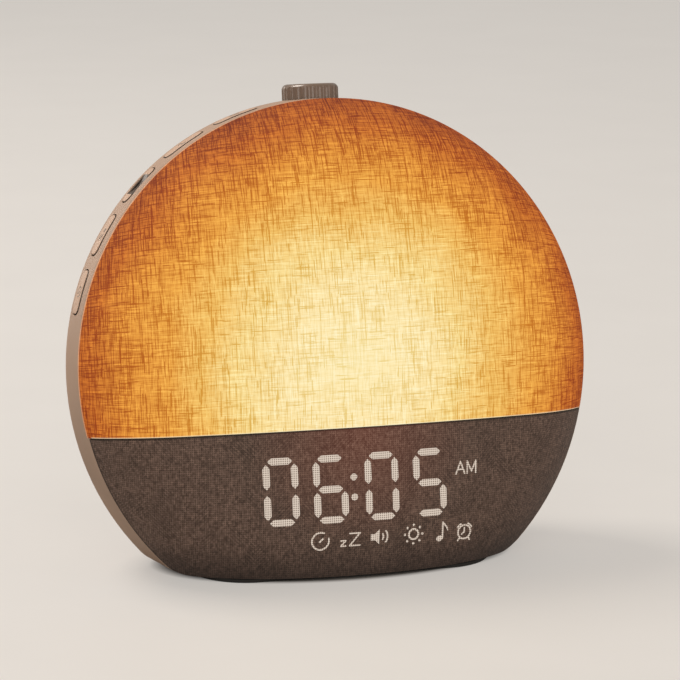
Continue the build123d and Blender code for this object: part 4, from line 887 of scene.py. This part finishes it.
MARK_LIFT, MARK_SINK = 0.07, 0.06  # the lit marks' skin above the cloth, and their foot in it
SIGNS = (  # what draws it, middle or lower left, size, half width
    (draw_letters, 35.6, -40.2, 4.3, STROKE * 0.95),
    (draw_timer, -15.4, -60.9, 6.2, STROKE),
    (draw_sleep, -4.6, -61.0, 4.4, STROKE * 0.9),
    (draw_speaker, 6.7, -60.8, 5.6, STROKE),
    (draw_sun, 19.5, -60.8, 7.3, STROKE),
    (draw_note, 30.1, -60.7, 6.8, STROKE),
    (draw_alarm, 39.5, -61.2, 7.0, STROKE),
)


def display_marks(material):
    """All that the display shows through the cloth."""
    drawing = Drawing(on_dome, MARK_LIFT, MARK_SINK, unrolled)
    for character, x in zip(TIME_SHOWN, DIGIT_PLACES):
        draw_digit(drawing, character, x)
    for side in (-1, 1):
        y = COLON_MIDDLE + side * COLON_SPREAD
        drawing.dot(COLON_PLACE + DIGIT_SLANT * (y - DIGIT_MIDDLE), y, COLON_RADIUS)
    for draw, *where_and_size in SIGNS:
        draw(drawing, *where_and_size)
    drawing.piece("display_marks", material, "case", "display_led")


# ---------------------------------------------------------------- marks on the side keys
KEY_MARKS = (
    ("alarm_button", draw_alarm, 4.4),
    ("sound_button", draw_note, 4.2),
    ("light_button", None, 0.0),
    ("sleep_button", draw_sleep, 2.8),
    ("timer_button", draw_timer, 3.6),
)
KEY_STROKE = 0.2
PRINT_LIFT, PRINT_SINK = 0.03, 0.05


def on_key(angle):
    """The surface of a side key: x runs along the key, y back across the band."""

    def lay(x, y, lift):
        turn = angle + x / CAP_RADIUS
        radius = CAP_RADIUS + lift
        return place(radius * math.cos(turn), radius * math.sin(turn), -BUTTON_SETBACK - y)

    return lay


def key_marks(material):
    """A small printed sign on each plain side key."""
    for step, (body, draw, size) in enumerate(KEY_MARKS):
        if draw:
            angle = math.radians(BUTTON_FIRST + BUTTON_PITCH * step)
            drawing = Drawing(on_key(angle), PRINT_LIFT, PRINT_SINK)
            draw(drawing, 0.0, 0.0, size, KEY_STROKE)
            drawing.piece(f"{body}_mark", material, body, "inlay")


# ---------------------------------------------------------------- the clock
finishes = solid_finishes()
for part in frame["record"]["subparts"]:
    node = frame["nodes"][part["node"]]
    node.data.materials.clear()
    node.data.materials.append(finishes[part["material_slot"]])

stretched_sheet(
    "linen_sheet", linen_columns(), linen_finish(), LINEN_FOOT, wrap_distance, "linen_cover"
)
stretched_sheet(
    "cloth_sheet", cloth_columns(), cloth_finish(), CLOTH_TOP, foot_distance, "cloth_cover"
)
display_marks(mark_finish())
key_marks(print_finish())

# ---------------------------------------------------------------- camera
VIEW_TURN = math.radians(18.533)
VIEW_DROP = math.radians(12.657)
VIEW_ROLL = math.radians(0.920)
VIEW_DISTANCE = 1.425
FOCAL_PIXELS = 3979.837
PHOTO_SIDE = 680
RIM_PIXEL = (336.726, 363.929)  # where the rim's centre falls in the picture
SENSOR = 36.0

level = Vector((math.cos(VIEW_TURN), -math.sin(VIEW_TURN), 0))
look = Vector((math.sin(VIEW_TURN), math.cos(VIEW_TURN), 0)) * math.cos(VIEW_DROP)
look.z = -math.sin(VIEW_DROP)
upright = level.cross(look)
across = level * math.cos(VIEW_ROLL) + upright * math.sin(VIEW_ROLL)
over = upright * math.cos(VIEW_ROLL) - level * math.sin(VIEW_ROLL)
shift_right, shift_down = ((pixel - PHOTO_SIDE / 2) / FOCAL_PIXELS * VIEW_DISTANCE for pixel in RIM_PIXEL)
eye = RIM_CENTRE - look * VIEW_DISTANCE - across * shift_right + over * shift_down

camera_data = bpy.data.cameras.new("camera")
camera_data.sensor_width = SENSOR
camera_data.lens = FOCAL_PIXELS / PHOTO_SIDE * SENSOR
camera_data.clip_start = 0.01
camera = bpy.data.objects.new("camera", camera_data)
camera.matrix_world = Matrix.Translation(eye) @ Matrix((across, over, -look)).transposed().to_4x4()
bpy.context.scene.collection.objects.link(camera)
bpy.context.scene.camera = camera


# ---------------------------------------------------------------- studio
def area_light(name, where, target, size, power, colour):
    """A square soft light aimed at a point."""
    data = bpy.data.lights.new(name, "AREA")
    data.size = size
    data.energy = power
    data.color = colour
    light = bpy.data.objects.new(name, data)
    light.location = where
    light.rotation_euler = (Vector(target) - Vector(where)).to_track_quat("-Z", "Y").to_euler()
    bpy.context.scene.collection.objects.link(light)


WARM = (1.0, 0.92, 0.84)
LIGHTS = (  # name, place, target, size, power, colour
    ("key", (-0.55, 0.6, 1.3), (0, 0, 0.08), 0.6, 12, WARM),
    ("rim", (-0.5, 1.2, 0.22), (0, 0, 0.12), 0.5, 1.6, WARM),
    ("side", (1.2, -0.7, 0.5), (0, 0, 0.08), 0.7, 2.2, (1.0, 0.88, 0.80)),
    ("fill", (-0.5, -1.4, 0.8), (0, 0, 0.05), 1.2, 8, (1.0, 0.93, 0.86)),
)
for light in LIGHTS:
    area_light(*light)

world = bpy.data.worlds.new("studio")
world.use_nodes = True
world.node_tree.nodes["Background"].inputs["Color"].default_value = (0.95, 0.88, 0.80, 1)
world.node_tree.nodes["Background"].inputs["Strength"].default_value = 0.35
bpy.context.scene.world = world
bpy.context.scene.view_settings.view_transform = "Standard"

FLOOR_REACH = 5.0
FLOOR_GLOW = (0.40, 0.385, 0.367)  # lifts the floor in the picture alone, and stops under the clock to leave a painted shadow
SHADOW_WIDTH, SHADOW_DEPTH, SHADOW_BACK = 66, 34, 2  # half axes of the painted shadow, the part without it, and its middle


def floor_finish():
    """A plain pale floor, a little darker where the clock stands: a painted shadow."""
    shader = Shader("floor_pale", roughness=0.6, emission_strength=1.0)
    point = shader.place_mm()
    mottle = shader.noise(point, 60.0, detail=3)
    shader.colour(shader.mix(mottle, (0.36, 0.345, 0.325), (0.40, 0.385, 0.365)))
    flattened = shader.vector("MULTIPLY", point, (1 / SHADOW_WIDTH, 1 / SHADOW_DEPTH, 0))
    from_middle = shader.vector("DISTANCE", flattened, (0, SHADOW_BACK / SHADOW_DEPTH, 0))
    seen = shader.node("ShaderNodeLightPath").outputs["Is Camera Ray"]
    # the glow stops under the clock: a painted shadow
    lit = shader.math("MULTIPLY", seen, shader.span(from_middle, 0.93, 1.03))
    shader.glow(shader.mix(lit, (0, 0, 0), FLOOR_GLOW))
    return shader.material


corners = [(x * FLOOR_REACH, y * FLOOR_REACH, 0) for x, y in ((-1, -1), (1, -1), (1, 1), (-1, 1))]
add_mesh("floor", corners, [(0, 1, 2, 3)], floor_finish())
